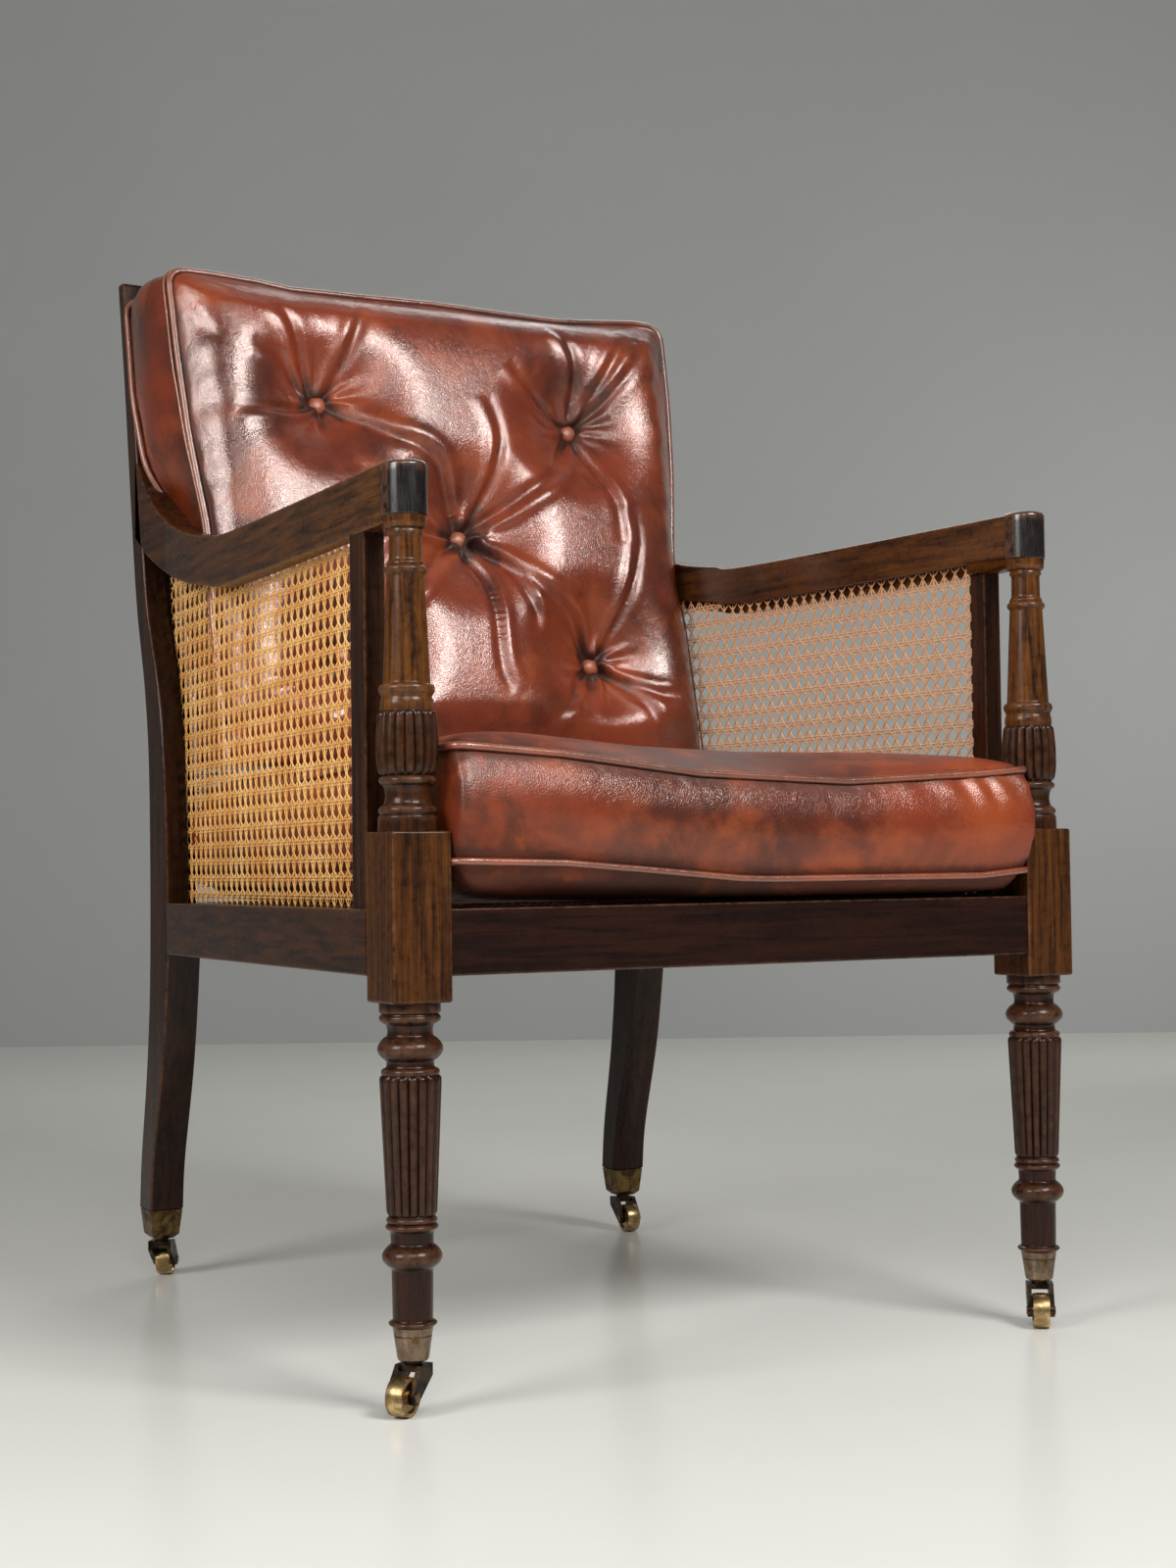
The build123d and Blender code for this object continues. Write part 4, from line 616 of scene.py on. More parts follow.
def frontPost(side, name):
    plan = postPlan
    centre = (side * plan["axisX"], plan["axisY"])
    legs, bulb, lap = plan["legReeds"], plan["bulbReeds"], plan["lap"]
    share = np.linspace(0, 1, plan["reedRows"])
    swell = np.interp(share, *plan["bulbSwell"])[:, None]
    swell = smoothOver(swell, np.ones(2 * turnPlan["wearReach"] + 1))[:, 0]
    shells = [
        turnedShell(footShares, plan["legBottom"], legs["low"] + lap, centre),
        reededShell(legs, legs["lowRadius"] + (legs["highRadius"] - legs["lowRadius"]) * share, centre),
        turnedShell(headShares, legs["high"] - lap, plan["blockBottom"], centre),
        straightBar((*centre, plan["blockBottom"]), (*centre, plan["blockTop"]), (1, 0, 0), (0, 1, 0),
                    2 * plan["half"], 2 * plan["half"], plan["edge"]),
        turnedShell(baseShares, plan["blockTop"], bulb["low"] + lap, centre),
        reededShell(bulb, bulb["radius"] * swell, centre),
        turnedShell(shaftShares, bulb["high"] - lap, plan["top"], centre),
    ]
    for shell, amber in zip(shells, plan["amber"]):
        shell["amber"] = amber
    dressWood(makePiece(f"front_post_turned_{name}", shells, crisp), "upright", f"front_post_{name}")


terminalPlan = {"radius": 16.5, "bottom": 633.7, "top": 672.4, "backY": -324.2, "round": 3.5, "seam": 0.6,
                "arris": 0.3, "crisp": 40, "sideWear": 0.35, "topWear": 0.45}


# The black terminal: a half round in front with straight flanks behind, whose top edge is rounded.
def armTerminal(side, name):
    plan, post = terminalPlan, postPlan
    theta = np.linspace(math.pi, 2 * math.pi, 41)
    back = plan["backY"] - post["axisY"]
    turn = np.linspace(0, math.pi / 2, 9)[1:]
    flat = np.linspace(plan["bottom"] + 2, plan["top"] - plan["round"], 8)
    z = np.concatenate([[plan["bottom"], plan["bottom"] + plan["seam"]], flat,
                        plan["top"] - plan["round"] * (1 - np.sin(turn))])
    inset = np.concatenate([[plan["seam"], 0], 0 * flat, plan["round"] * (1 - np.cos(turn))])
    rings, wear = [], []
    for height, step in zip(z, inset):
        r, bit = plan["radius"] - step, plan["arris"]
        arc = np.stack([r * np.cos(theta), r * np.sin(theta)], 1)
        flank = np.array([[r, back * 0.5], [r, back - bit], [r - bit, back]])
        outline = np.vstack([arc, flank, [[0, back]], flank[::-1] * (-1, 1)])
        rings.append(np.column_stack([side * post["axisX"] + outline[:, 0], post["axisY"] + outline[:, 1],
                                      np.full(len(outline), height)]))
        sideWear = np.exp(-((np.abs(outline[:, 0]) - r) / 3.0) ** 2) * (outline[:, 1] > -6)
        topWear = np.exp(-((height - plan["top"] + plan["round"] * 0.6) / 2.2) ** 2)
        wear.append(np.clip(sideWear * plan["sideWear"] + topWear * plan["topWear"], 0, 1))
    piece = makePiece(f"terminal_{name}", [ringShell(np.array(rings), np.array(wear))], plan["crisp"])
    dress(piece, finishes["terminals"], "frame", "ebonised_wood", f"arm_terminal_{name}")


# Arms and back posts follow the lines that they are sawn to
linePlan = {
    "blockBackY": -307.0, "postFrontY": 227.5, "postOuterX": 269.3, "postWidth": 32.5, "railOuterX": 308.0,
    "railBottom": 306.2, "railTop": 353.7, "footBottom": 64.1, "backTop": 958.0,
    "footSetback": 51.5, "footDepth": 32.0, "seatDepth": 49.5, "topDepth": 14.0, "topSetback": 118.5,
    "armOuterX": 300.5, "armThick": 26.0, "armTop": 672.0, "armHeight": 44.0, "armStartY": -324.0,
    "armLevel": 357.0, "sweepRun": 269.0, "sweepRise": 100.0, "caneInset": 23.0, "caneLap": 7.0,
    "caneAmber": {"left": 0.95, "right": 0.3}, "arris": 2.2, "endEase": 1.2, "least": 0.6, "skin": 1.6,
    "armRows": 150, "armBuried": 84.0, "armCut": (-268, -262), "postArris": 2.0, "postRows": 220,
    "postCut": 11.0, "postCutTop": (700, 704), "steps": 400,
    "armAmber": ([-324, -200, 60, 200], [0.95, 0.8, 0.6, 0.4]),
}
railPlan = {"frontReach": 262.5, "backReach": 237.5, "sideStart": -307.5, "sideEnd": 228.5, "sideInset": 19.0,
            "sideThick": 38.0, "arris": 1.2, "uprightTop": 632.0, "uprightRows": 30, "uprightCut": 5.0,
            "uprightArris": 1.3, "amber": {"across": 0.0, "side": 0.3, "upright": 0.2, "post": 0.1}}
legFrontShares = [(0.0, 1.0), (0.2, 0.86), (0.59, 0.327), (1.0, 0.0)]
legBackShares = [(0.0, 1.0), (0.2, 0.83), (0.59, 0.28), (1.0, 0.0)]
stileFrontShares = [(0.0, 0.0), (0.185, 0.055), (0.328, 0.19), (0.4636, 0.451), (0.606, 0.595),
                    (0.805, 0.77), (1.0, 1.0)]
stileBackShares = [(0.185, 0.0), (0.3245, 0.12), (0.4685, 0.398), (0.6225, 0.578), (0.821, 0.783),
                   (1.0, 1.0)]
armTopShares = [(0.0, 0.0), (0.253, 0.06), (0.461, 0.15), (0.65, 0.29), (0.788, 0.45), (0.874, 0.61),
                (0.948, 0.79), (1.05, 1.13)]
armBottomShares = [(0.0, 0.0), (0.26, 0.06), (0.465, 0.14), (0.654, 0.26), (0.766, 0.36), (0.911, 0.53),
                   (1.03, 0.72)]


# A sawn edge as (along, across) points: the shares scaled, with points before and after that keep it
# straight outside them, joined by a smooth line.
def sawnLine(shares, startAlong, runAlong, startAcross, runAcross, before, after):
    points = [(startAlong + runAlong * a, startAcross + runAcross * b) for a, b in shares]
    line = smoothCurve([before] + points + [after], 40 * len(points))
    return line[np.argsort(line[:, 0])]


# Depth y of the back post's front and back edges against height z.
def postEdges():
    plan = linePlan
    low, seat, y = plan["footBottom"], plan["railTop"], plan["postFrontY"]
    legRise, rise = plan["railBottom"] - low, plan["backTop"] - seat
    backSeat, deeper = y + plan["seatDepth"], plan["footDepth"] - plan["seatDepth"]
    front = [(low + legRise * a, y + plan["footSetback"] * b) for a, b in legFrontShares]
    front += [(seat + rise * a, y + plan["topSetback"] * b) for a, b in stileFrontShares]
    back = [(low + legRise * a, backSeat + (plan["footSetback"] + deeper) * b) for a, b in legBackShares]
    back += [(seat + rise * a, backSeat + (plan["topSetback"] + plan["topDepth"] - plan["seatDepth"]) * b)
             for a, b in stileBackShares]
    return smoothCurve(front, plan["steps"]), smoothCurve(back, plan["steps"])


# Height z of an arm's top and bottom edges against depth y.
def armEdges():
    plan = linePlan
    start, run, rise = plan["armStartY"] + plan["armLevel"], plan["sweepRun"], plan["sweepRise"]
    edges = []
    for shares, height, past in ((armTopShares, plan["armTop"], 1.5),
                                 (armBottomShares, plan["armTop"] - plan["armHeight"], 0.9)):
        edges.append(sawnLine(shares, start, run, height, rise, (plan["armStartY"], height),
                              (start + run * 1.15, height + rise * past)))
    return edges


frontEdge, backEdge = postEdges()
armTopLine, armLowLine = armEdges()


def edgeAt(at, line):
    return np.interp(at, line[:, 0], line[:, 1])


# Outer face of a side rail: a straight line from the block to the back post.
def railOuterX(y):
    plan = linePlan
    share = (y - plan["blockBackY"]) / (plan["postFrontY"] - plan["blockBackY"])
    return plan["railOuterX"] + (plan["postOuterX"] - plan["railOuterX"]) * share


# The plane of a side panel, inside the rail's outer face.
def canePlaneX(y):
    return railOuterX(y) - linePlan["caneInset"]


# Outer face of an arm: straight to the seat's back, then in line with the back post.
def armOuterX(y):
    plan = linePlan
    share = (np.minimum(y, plan["postFrontY"]) - plan["armStartY"]) / (plan["postFrontY"] - plan["armStartY"])
    return plan["armOuterX"] + (plan["postOuterX"] - plan["armOuterX"]) * share


# The arm: upright sections between its sawn top and bottom edges, which end inside the back post.
def armPiece(side, name):
    plan = linePlan
    start, eased, thick = plan["armStartY"], plan["endEase"], plan["armThick"]
    y = np.concatenate([[start, start + eased],
                        np.linspace(start + 4, plan["postFrontY"] + plan["armBuried"], plan["armRows"])])
    top, low = edgeAt(y, armTopLine), edgeAt(y, armLowLine)
    ease = np.where(y > start, 0, eased)
    centres = np.stack([side * (armOuterX(y) - thick / 2), y, (top + low) / 2], 1)
    cut = plan["least"] + fade(y, *plan["armCut"]) * (canePlaneX(y) - armOuterX(y) + thick + plan["skin"])
    sections = [rebatedSection(thick - e, t - b - e, plan["arris"], c, plan["caneLap"] + 2)
                for e, t, b, c in zip(ease, top, low, cut)]
    shell = sectionShell(centres, (side, 0, 0), (0, 0, 1), sections)
    shell["amber"] = np.interp(shell["points"][:, 1], *plan["armAmber"])
    dressWood(makePiece(f"arm_shaped_{name}", [shell], crisp), "along", f"arm_{name}")


# The sabre post: level sections between its sawn edges, with a rebate for the side cane.
def backPost(side, name):
    plan = linePlan
    z = np.concatenate([plan["footBottom"] + np.array([0.2, 1.2]),
                        np.linspace(plan["footBottom"] + 4, plan["backTop"] - 4, plan["postRows"]),
                        plan["backTop"] - np.array([1.6, 0.5, 0])])
    front, back = edgeAt(z, frontEdge), edgeAt(z, backEdge)
    inset = np.zeros(len(z))
    inset[[0, -1]], inset[-2] = 1.6, 0.5
    x = side * (plan["postOuterX"] - plan["postWidth"] / 2)
    centres = np.stack([np.full(len(z), x), (front + back) / 2, z], 1)
    low, high = plan["postCutTop"]
    cut = plan["least"] + plan["postCut"] * fade(z, plan["railTop"], plan["railTop"] + 2) * (
        fade(-z, -high, -low))
    sections = [rebatedSection(plan["postWidth"] - 2 * i, b - f - 2 * i, plan["postArris"], c,
                               plan["caneLap"] + 1) for i, b, f, c in zip(inset, back, front, cut)]
    shell = sectionShell(centres, (side, 0, 0), (0, 1, 0), sections)
    shell["amber"] = railPlan["amber"]["post"]
    dressWood(makePiece(f"back_post_sawn_{name}", [shell], crisp), "upright", f"back_post_{name}")


def nodeBox(node):
    return [np.array(corner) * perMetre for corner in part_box(node)]


def seatRails():
    plan, lines = railPlan, linePlan
    middle, tall = (lines["railBottom"] + lines["railTop"]) / 2, lines["railTop"] - lines["railBottom"]
    for node, reach in (("front_seat_rail", plan["frontReach"]), ("back_seat_rail", plan["backReach"])):
        low, high = nodeBox(node)
        y = (low[1] + high[1]) / 2
        shell = straightBar((-reach, y, middle), (reach, y, middle), (0, 1, 0), (0, 0, 1), high[1] - low[1],
                            tall, plan["arris"])
        shell["amber"] = plan["amber"]["across"]
        dressWood(makePiece(node + "_planed", [shell], crisp), "across", node)
    for side, name in sides:
        start, end = [np.array([side * (railOuterX(y) - plan["sideInset"]), y, middle])
                      for y in (plan["sideStart"], plan["sideEnd"])]
        way = unit(end - start)
        shell = straightBar(start, end, (-way[1], way[0], 0), (0, 0, 1), plan["sideThick"], tall,
                            plan["arris"])
        shell["amber"] = plan["amber"]["side"]
        dressWood(makePiece(f"side_rail_planed_{name}", [shell], crisp), "along", f"side_seat_rail_{name}")
        low, high = nodeBox(f"panel_upright_{name}")
        x, y = (low[0] + high[0]) / 2, (low[1] + high[1]) / 2
        rows = plan["uprightRows"]
        z = np.linspace(lines["railTop"] - 2, plan["uprightTop"], rows)
        section = rebatedSection(high[0] - low[0], high[1] - low[1], plan["uprightArris"],
                                 plan["uprightCut"], lines["caneLap"] + 1)
        shell = sectionShell(np.column_stack([np.full(rows, x), np.full(rows, y), z]), (side, 0, 0),
                             (0, -1, 0), [section] * rows)
        shell["amber"] = plan["amber"]["upright"]
        dressWood(makePiece(f"upright_planed_{name}", [shell], crisp), "upright", f"panel_upright_{name}")


backPlan = {"lowY": 253.0, "lowZ": 390.0, "highY": 353.0, "highZ": 958.0, "halfWidth": 237.2,
            "lowerTall": 36.0, "lowerThick": 22.0, "crestTall": 68.0, "crestThick": 13.0, "crestDrop": 2.0,
            "arris": 1.5, "beadInsets": (3.5, 6.5), "bead": 1.5, "beadArris": 0.6, "beadSteps": 6}
leanRun = math.hypot(backPlan["highY"] - backPlan["lowY"], backPlan["highZ"] - backPlan["lowZ"])
leanUp = np.array([0, backPlan["highY"] - backPlan["lowY"], backPlan["highZ"] - backPlan["lowZ"]]) / leanRun
leanOut = np.array([0, -leanUp[2], leanUp[1]])


# Points u across, v along up and n along out from the origin.
def onAxes(origin, up, out, u, v, n):
    across, along, away = [np.multiply.outer(np.asarray(length, float), way)
                           for length, way in ((u, [1, 0, 0]), (v, up), (n, out))]
    return np.array(origin) + (across + along) + away


# A point of the back frame: x across, up the lean and out to the front.
def onLean(x, up, out):
    return onAxes((0, backPlan["lowY"], backPlan["lowZ"]), leanUp, leanOut, x, up, out)


def backRails():
    plan = backPlan
    crestMid = leanRun - plan["crestDrop"] - plan["crestTall"] / 2
    for node, up, tall, thick in (("lower_back_rail", 0, plan["lowerTall"], plan["lowerThick"]),
                                  ("crest_rail", crestMid, plan["crestTall"], plan["crestThick"])):
        shells = [straightBar(onLean(-plan["halfWidth"], up, 0), onLean(plan["halfWidth"], up, 0), leanOut,
                              leanUp, thick, tall, plan["arris"])]
        if node == "crest_rail":
            shells += crestBeads(crestMid, tall, thick)
        dressWood(makePiece(node + "_planed", shells, crisp), "across", node)


# A double bead that borders the crest's face, mitred at its corners.
def crestBeads(mid, tall, thick):
    plan, shells = backPlan, []
    for inset in plan["beadInsets"]:
        high, low = mid + tall / 2 - inset, mid - tall / 2 + inset
        reach = plan["halfWidth"] - inset
        corners = [(-reach, low), (reach, low), (reach, high), (-reach, high)]
        for a, b in zip(corners, corners[1:] + corners[:1]):
            start, end = onLean(a[0], a[1], thick / 2), onLean(b[0], b[1], thick / 2)
            way = unit(end - start)
            shells.append(straightBar(start, end, np.cross(way, leanOut), leanOut, plan["bead"],
                                      plan["bead"], plan["beadArris"], plan["beadSteps"]))
    return shells


for side, name in sides:
    frontPost(side, name)
    armTerminal(side, name)
    armPiece(side, name)
    backPost(side, name)
seatRails()
backRails()
print("wood made")


# Woven cane
canePlan = {"pitch": 15.0, "pairGap": 2.5, "strandWidth": 1.4, "crossWidth": 1.8, "thick": 0.85,
            "crossLift": 0.8, "weaveLift": 0.4, "pinch": 0.5, "tuck": 4.0,
            "sides": {"left": (16.0, 14.6), "right": (13.8, 15.4)}, "sag": 2.5, "startY": -257.0,
            "panelRun": 484.0, "panelRise": 280.0, "mostRun": 540.0, "mostRise": 360.0}
seatCanePlan = {"count": 37, "startY": -316.0, "endY": 236.0, "inset": 36.0, "drop": 1.1, "fineness": 2}
braidPlan = {"reach": 258.0, "steps": 320, "wave": 21.0, "y": -324.0, "swing": 3.4, "lift": 1.6, "width": 3.6,
             "thick": 1.2, "arris": 0.5, "wear": 0.8}


# The six-way pattern, in pitches: pairs of strands stand and lie at each half-odd u and v, and diagonals
# run between them. The rising ones pass over the uprights and under the levels, the falling ones the other
# way. Each strand is kept where inside says and is pinched to its hole at the frame. Returns the shells of
# the pairs and those of the diagonals.
def weave(toPlace, inside, columns, rows, fineness=4):
    plan = canePlan
    shift = plan["pairGap"] / plan["pitch"] / 2
    pairs, crossings = [], []

    def lay(into, path, sideways, offset, samples, height, width):
        dense = np.arange(samples[0] - 0.5, samples[-1] + 0.5, 0.05)
        keep = inside(*path(dense))
        if keep.sum() < 8:
            return
        first, last = dense[keep][[0, -1]]
        extra = plan["tuck"] / plan["pitch"]
        t = np.r_[first - extra, first, samples[(samples > first + 0.1) & (samples < last - 0.1)], last,
                  last + extra]
        pinch = np.clip(np.minimum(t - first, last - t) / plan["pinch"], 0, 1)
        u, v = path(t)
        points, outward = toPlace(u + sideways[0] * offset * pinch, v + sideways[1] * offset * pinch,
                                  height(t) * np.clip(pinch * 2, 0, 1))
        across = unit(np.cross(unit(np.gradient(points, axis=0)), outward))
        ring = np.stack([across * width / 2, outward * plan["thick"] / 2, -across * width / 2,
                         -outward * plan["thick"] / 2], 1)
        into.append(ringShell(points[:, None, :] + ring))

    # Up on one strand of a crossing pair and down on the other.
    def woven(t, way):
        gap = t - np.floor(t) - 0.5
        return way * plan["weaveLift"] * np.sign(gap) * (np.abs(gap) < 0.3)

    def pairSamples(count):
        middle = np.arange(count) + 0.5
        return np.sort(np.concatenate([middle - shift, middle + shift, np.arange(count + 1)]))

    for k in range(columns):
        for way in (-1, 1):
            lay(pairs, lambda t: (np.full(len(t), k + 0.5), t), (1, 0), way * shift, pairSamples(rows),
                lambda t: woven(t, way), plan["strandWidth"])
    for k in range(rows):
        for way in (-1, 1):
            lay(pairs, lambda t: (t, np.full(len(t), k + 0.5)), (0, 1), way * shift, pairSamples(columns),
                lambda t: woven(t, -way), plan["strandWidth"])
    steps = np.arange(0, columns * fineness + 1) / fineness
    for k in range(-rows, columns + 1):
        for way in (1, -1):
            def path(t):
                rising = t - k - 0.5
                return t, rising if way > 0 else rows - rising
            within = (steps - k - 0.5 > -1) & (steps - k - 0.5 < rows + 1)
            if within.sum() > 2:
                lay(crossings, path, (0, 0), 0, steps[within],
                    lambda t: -way * plan["crossLift"] * np.cos(2 * math.pi * t), plan["crossWidth"])
    return pairs, crossings


# The panel under the arm, which laps into the rebates of the upright, the arm and the back post. An old
# panel is slack: it bellies outward by a product of two half waves.
def sideCane(side, name):
    plan, cane, (stepU, stepV) = linePlan, canePlan, canePlan["sides"][name]
    lap = plan["caneLap"]
    startY, endY = cane["startY"] - lap, plan["postFrontY"]
    start, end = np.array([canePlaneX(startY), startY]), np.array([canePlaneX(endY), endY])
    way = unit(end - start)
    outward = np.array([side * way[1], -way[0], 0])

    def halfWave(along, run):
        return np.sin(math.pi * np.clip(along / run, 0, 1))

    def toPlace(u, v, n):
        flat = start + u[:, None] * stepU * way
        sag = cane["sag"] * halfWave(u * stepU, cane["panelRun"]) * halfWave(v * stepV, cane["panelRise"])
        points = np.column_stack([side * flat[:, 0], flat[:, 1], plan["railTop"] + v * stepV])
        return points + (n + sag)[:, None] * outward, np.broadcast_to(outward, (len(u), 3))

    def inside(u, v):
        y, z = startY + u * stepU * way[1], plan["railTop"] + v * stepV
        return (u > 0) & (v > 0) & (z < edgeAt(y, armLowLine) + lap) & (y < edgeAt(z, frontEdge) + lap)

    pairs, crossings = weave(toPlace, inside, math.ceil(cane["mostRun"] / stepU),
                             math.ceil(cane["mostRise"] / stepV))
    for shell in pairs + crossings:
        shell["amber"] = plan["caneAmber"][name]
    dressCane(f"cane_panel_{name}", "cane", pairs + crossings, f"cane_side_{name}")


# The back panel between the posts, in the plane of the back frame: its pairs, then its diagonals.
def backCane():
    plan, pitch = backPlan, canePlan["pitch"]
    low, high = plan["lowerTall"] / 2, leanRun - plan["crestDrop"] - plan["crestTall"]
    columns, rows = round(2 * plan["halfWidth"] / pitch), round((high - low) / pitch)
    stepU, stepV = 2 * plan["halfWidth"] / columns, (high - low) / rows

    def toPlace(u, v, n):
        place = onLean(u * stepU - plan["halfWidth"], low + v * stepV, n)
        return place, np.broadcast_to(leanOut, (len(u), 3))

    def inside(u, v):
        return (u > 0) & (u < columns) & (v > 0) & (v < rows)

    for part, shells in zip(("pairs", "crossings"), weave(toPlace, inside, columns, rows)):
        dressCane(f"cane_back_{part}", "cane", shells, "cane_back")


# The woven seat under the cushion, laid just below the tops of the rails.
def seatCane():
    plan, pitch = seatCanePlan, canePlan["pitch"]

    def across(u, v):
        return (u - plan["count"] / 2) * pitch, v * pitch + plan["startY"]

    def toPlace(u, v, n):
        points = np.column_stack([*across(u, v), linePlan["railTop"] - plan["drop"] + n])
        return points, np.broadcast_to(np.array([0.0, 0, 1]), (len(u), 3))

    def inside(u, v):
        x, y = across(u, v)
        return (np.abs(x) < railOuterX(y) - plan["inset"]) & (v > 0) & (y < plan["endY"])

    pairs, crossings = weave(toPlace, inside, plan["count"], plan["count"], plan["fineness"])
    # Both in the darker copy of the cane that carries painted shade.
    dressCane("cane_seat_pairs", "paintedShadeCane", pairs + seatBraid(), "cane_seat")
    dressCane("cane_seat_crossings", "paintedShadeCane", crossings, "cane_seat")


# The border of the woven seat on the front rail: three strands, a third of a wave apart.
def seatBraid():
    plan, shells = braidPlan, []
    x = np.linspace(-plan["reach"], plan["reach"], plan["steps"])
    section = barSection(plan["width"], plan["thick"], plan["arris"])
    for k in range(3):
        phase = 2 * math.pi * (x / plan["wave"] + k / 3)
        centres = np.column_stack([x, plan["y"] + plan["swing"] * np.sin(phase),
                                   linePlan["railTop"] + plan["lift"] + np.cos(phase)])
        shells.append(sectionShell(centres, (0, 1, 0), (0, 0, 1), [section] * plan["steps"]))
        shells[-1]["wear"] = np.full(len(shells[-1]["points"]), plan["wear"])
    return shells


for side, name in sides:
    sideCane(side, name)
backCane()
seatCane()
print("cane made")


# Cushions
seatPlan = {
    "deck": 354.3, "lowSeam": 371.0, "highSeam": 457.0, "crown": 20.0, "crownRun": 120.0, "bellyRun": 46.0,
    "frontY": -357.0, "backY": 218.7, "frontHalf": 260.0, "backHalf": 235.5, "draw": 4.0, "soft": 22.0,
    "postGap": 260.8, "behindPosts": 272.0, "bulge": 13.0, "boxing": (0.12, 0.25, 0.4, 0.5, 0.6, 0.75, 0.88),
    "highSag": ([-255, -173, -55, 81, 208, 255], [12, 7, -6, -11, -4, 0]),
    "lowSag": ([-255, -173, -99, -21, 61, 176, 255], [16, 14, 8, 1, -2, -3, 4]), "deepest": -12.0,
    "voxel": 6.0, "most": 7.0, "cord": 2.9, "cordWearAndSheen": 0.35, "shadeReach": 7.0,
}
crumplePlan = {"depth": 1.0, "wave": 5.0, "sway": 1.3, "swayWave": 17.0, "climb": 9.0, "z": 440.0,
               "reach": 16.0}
backCushion = {
    "origin": (0.0, 227.86, 467.5), "lean": 13.2986, "height": 461.0, "lowSeam": 9.0, "highSeam": 107.0,
    "crown": 28.0, "crownRun": 84.0, "high": 267.0, "cut": 477.4, "draw": 1.0, "soft": 34.0, "bulge": 2.0,
    "boxing": (0.2, 0.35, 0.5, 0.65, 0.8), "voxel": 5.0, "most": 8.0, "leanRight": 5.0, "fill": 7.0,
    "topWave": ([-262, -229, -184, -148, -80, 8, 87, 145, 193, 236, 265],
                [3, 3, 1, -3, -2, 0, -2, -3, 1, 5, 4]),
    "rearSide": [(235, -22), (235, 130), (235, 175), (236, 215), (237, 258), (268, 306), (274, 380),
                 (273, 476)],
    "frontSide": [(249, -22), (249, 130), (246, 175), (246, 210), (252, 253), (258, 300), (264, 380),
                  (267, 461)],
    "cordWearAndSheen": 0.9, "cordLift": 3.4, "shadeReach": 7.5,
}
padPoints = 200
leanAngle = math.radians(backCushion["lean"])
cushionUp = np.array([0, math.sin(leanAngle), math.cos(leanAngle)])
cushionOut = np.array([0, -math.cos(leanAngle), math.sin(leanAngle)])


# A point of the back cushion: u across, v up its lean, n out from its back.
def onCushion(u, v, n):
    return onAxes(backCushion["origin"], cushionUp, cushionOut, u, v, n)


# The u, v and n of points in millimetres.
def cushionPlace(points):
    p = points - np.array(backCushion["origin"])
    return p[:, 0], p @ cushionUp, p @ cushionOut


# Outline of the back cushion at a depth: it widens above the arms.
def backLoop(reach, inset):
    plan = backCushion
    share = min(max(reach / plan["highSeam"], 0), 1)
    edge = np.array(plan["rearSide"]) * (1.0 - share) + np.array(plan["frontSide"], float) * share
    edge[:, 0] -= inset
    edge[0, 1] += inset
    edge[-1, 1] -= inset
    return softLoop(np.vstack([edge, edge[::-1] * (-1, 1)]), plan["draw"], plan["soft"], padPoints)


# How the back cushion has settled: it leans to the right, its top edge waves and its boxing fills out above
# the arms, by a half sine over its depth.
def backWarp(u, v, n):
    plan = backCushion
    fill = plan["fill"] * np.sin(math.pi * np.clip(n / plan["highSeam"], 0, 1))
    moved = u + plan["leanRight"] * fade(v, 150, 460) + np.sign(u) * fill * fade(v, 300, 380) * (
        fade(np.abs(u), 190, 255))
    return moved, v + np.interp(u, *plan["topWave"]) * fade(v, 380, 455) + fill * fade(v, 436, 458), n


# Outline of the seat cushion, drawn in by the inset.
def seatLoop(inset):
    plan = seatPlan
    front, back = plan["frontHalf"] - inset, plan["backHalf"] - inset
    corners = [(-front, plan["frontY"] + inset), (front, plan["frontY"] + inset),
               (back, plan["backY"] - inset), (-back, plan["backY"] - inset)]
    return softLoop(corners, plan["draw"], plan["soft"], padPoints)


# How the seat cushion has settled: its front edge sags in the middle and rides up at the left, and it is
# pressed in between the front posts.
def seatWarp(points):
    plan, (x, y, z) = seatPlan, points.T
    high, low = np.interp(x, *plan["highSag"]), np.interp(x, *plan["lowSag"])
    share = np.clip((z - plan["lowSeam"]) / (plan["highSeam"] - plan["lowSeam"]), 0, 1)
    deep = fade(z, plan["deck"] + 1, plan["lowSeam"])
    lift = deep + 0.5 * (1 - deep) * fade(-y, 270, 340)
    between = fade(-y, 284, 300)
    limit = plan["postGap"] * between + plan["behindPosts"] * (1 - between)
    moved = points.copy()
    moved[:, 2] += fade(-y, -60, 330) * np.maximum(low + (high - low) * share, plan["deepest"] * share) * lift
    moved[:, 0] = np.clip(x, -limit, limit)
    return moved


# (reach, inset) of a pad's rings: the start, the boxing that bulges between its seams, the crown.
def padSections(plan, start):
    low, high = plan["lowSeam"], plan["highSeam"]
    sections = start + [(low, 0)]
    sections += [(low + (high - low) * s, -plan["bulge"] * math.sin(math.pi * s)) for s in plan["boxing"]]
    sections += [(high, 0)]
    return sections + [(high + plan["crown"] * math.sin(t), plan["crownRun"] * (1 - math.cos(t)))
                       for t in np.linspace(0, math.pi / 2, 10)[1:]]


# The seat cushion before it swells, from the deck up.
def seatBase():
    plan = seatPlan
    sections = padSections(plan, [(plan["deck"], plan["bellyRun"]), (plan["deck"] + 4, plan["bellyRun"] / 5)])
    shell = ringShell(np.array([np.column_stack([seatLoop(inset), np.full(padPoints, z)])
                                for z, inset in sections]))
    shell["points"] = seatWarp(shell["points"])
    return shell


# The back cushion before it swells, from the rear face out.
def backBase():
    sections = padSections(backCushion, [(0, backCushion["crownRun"] / 4)])
    rings = [onCushion(*backWarp(*backLoop(reach, inset).T, np.full(padPoints, float(reach))))
             for reach, inset in sections]
    return ringShell(np.array(rings))


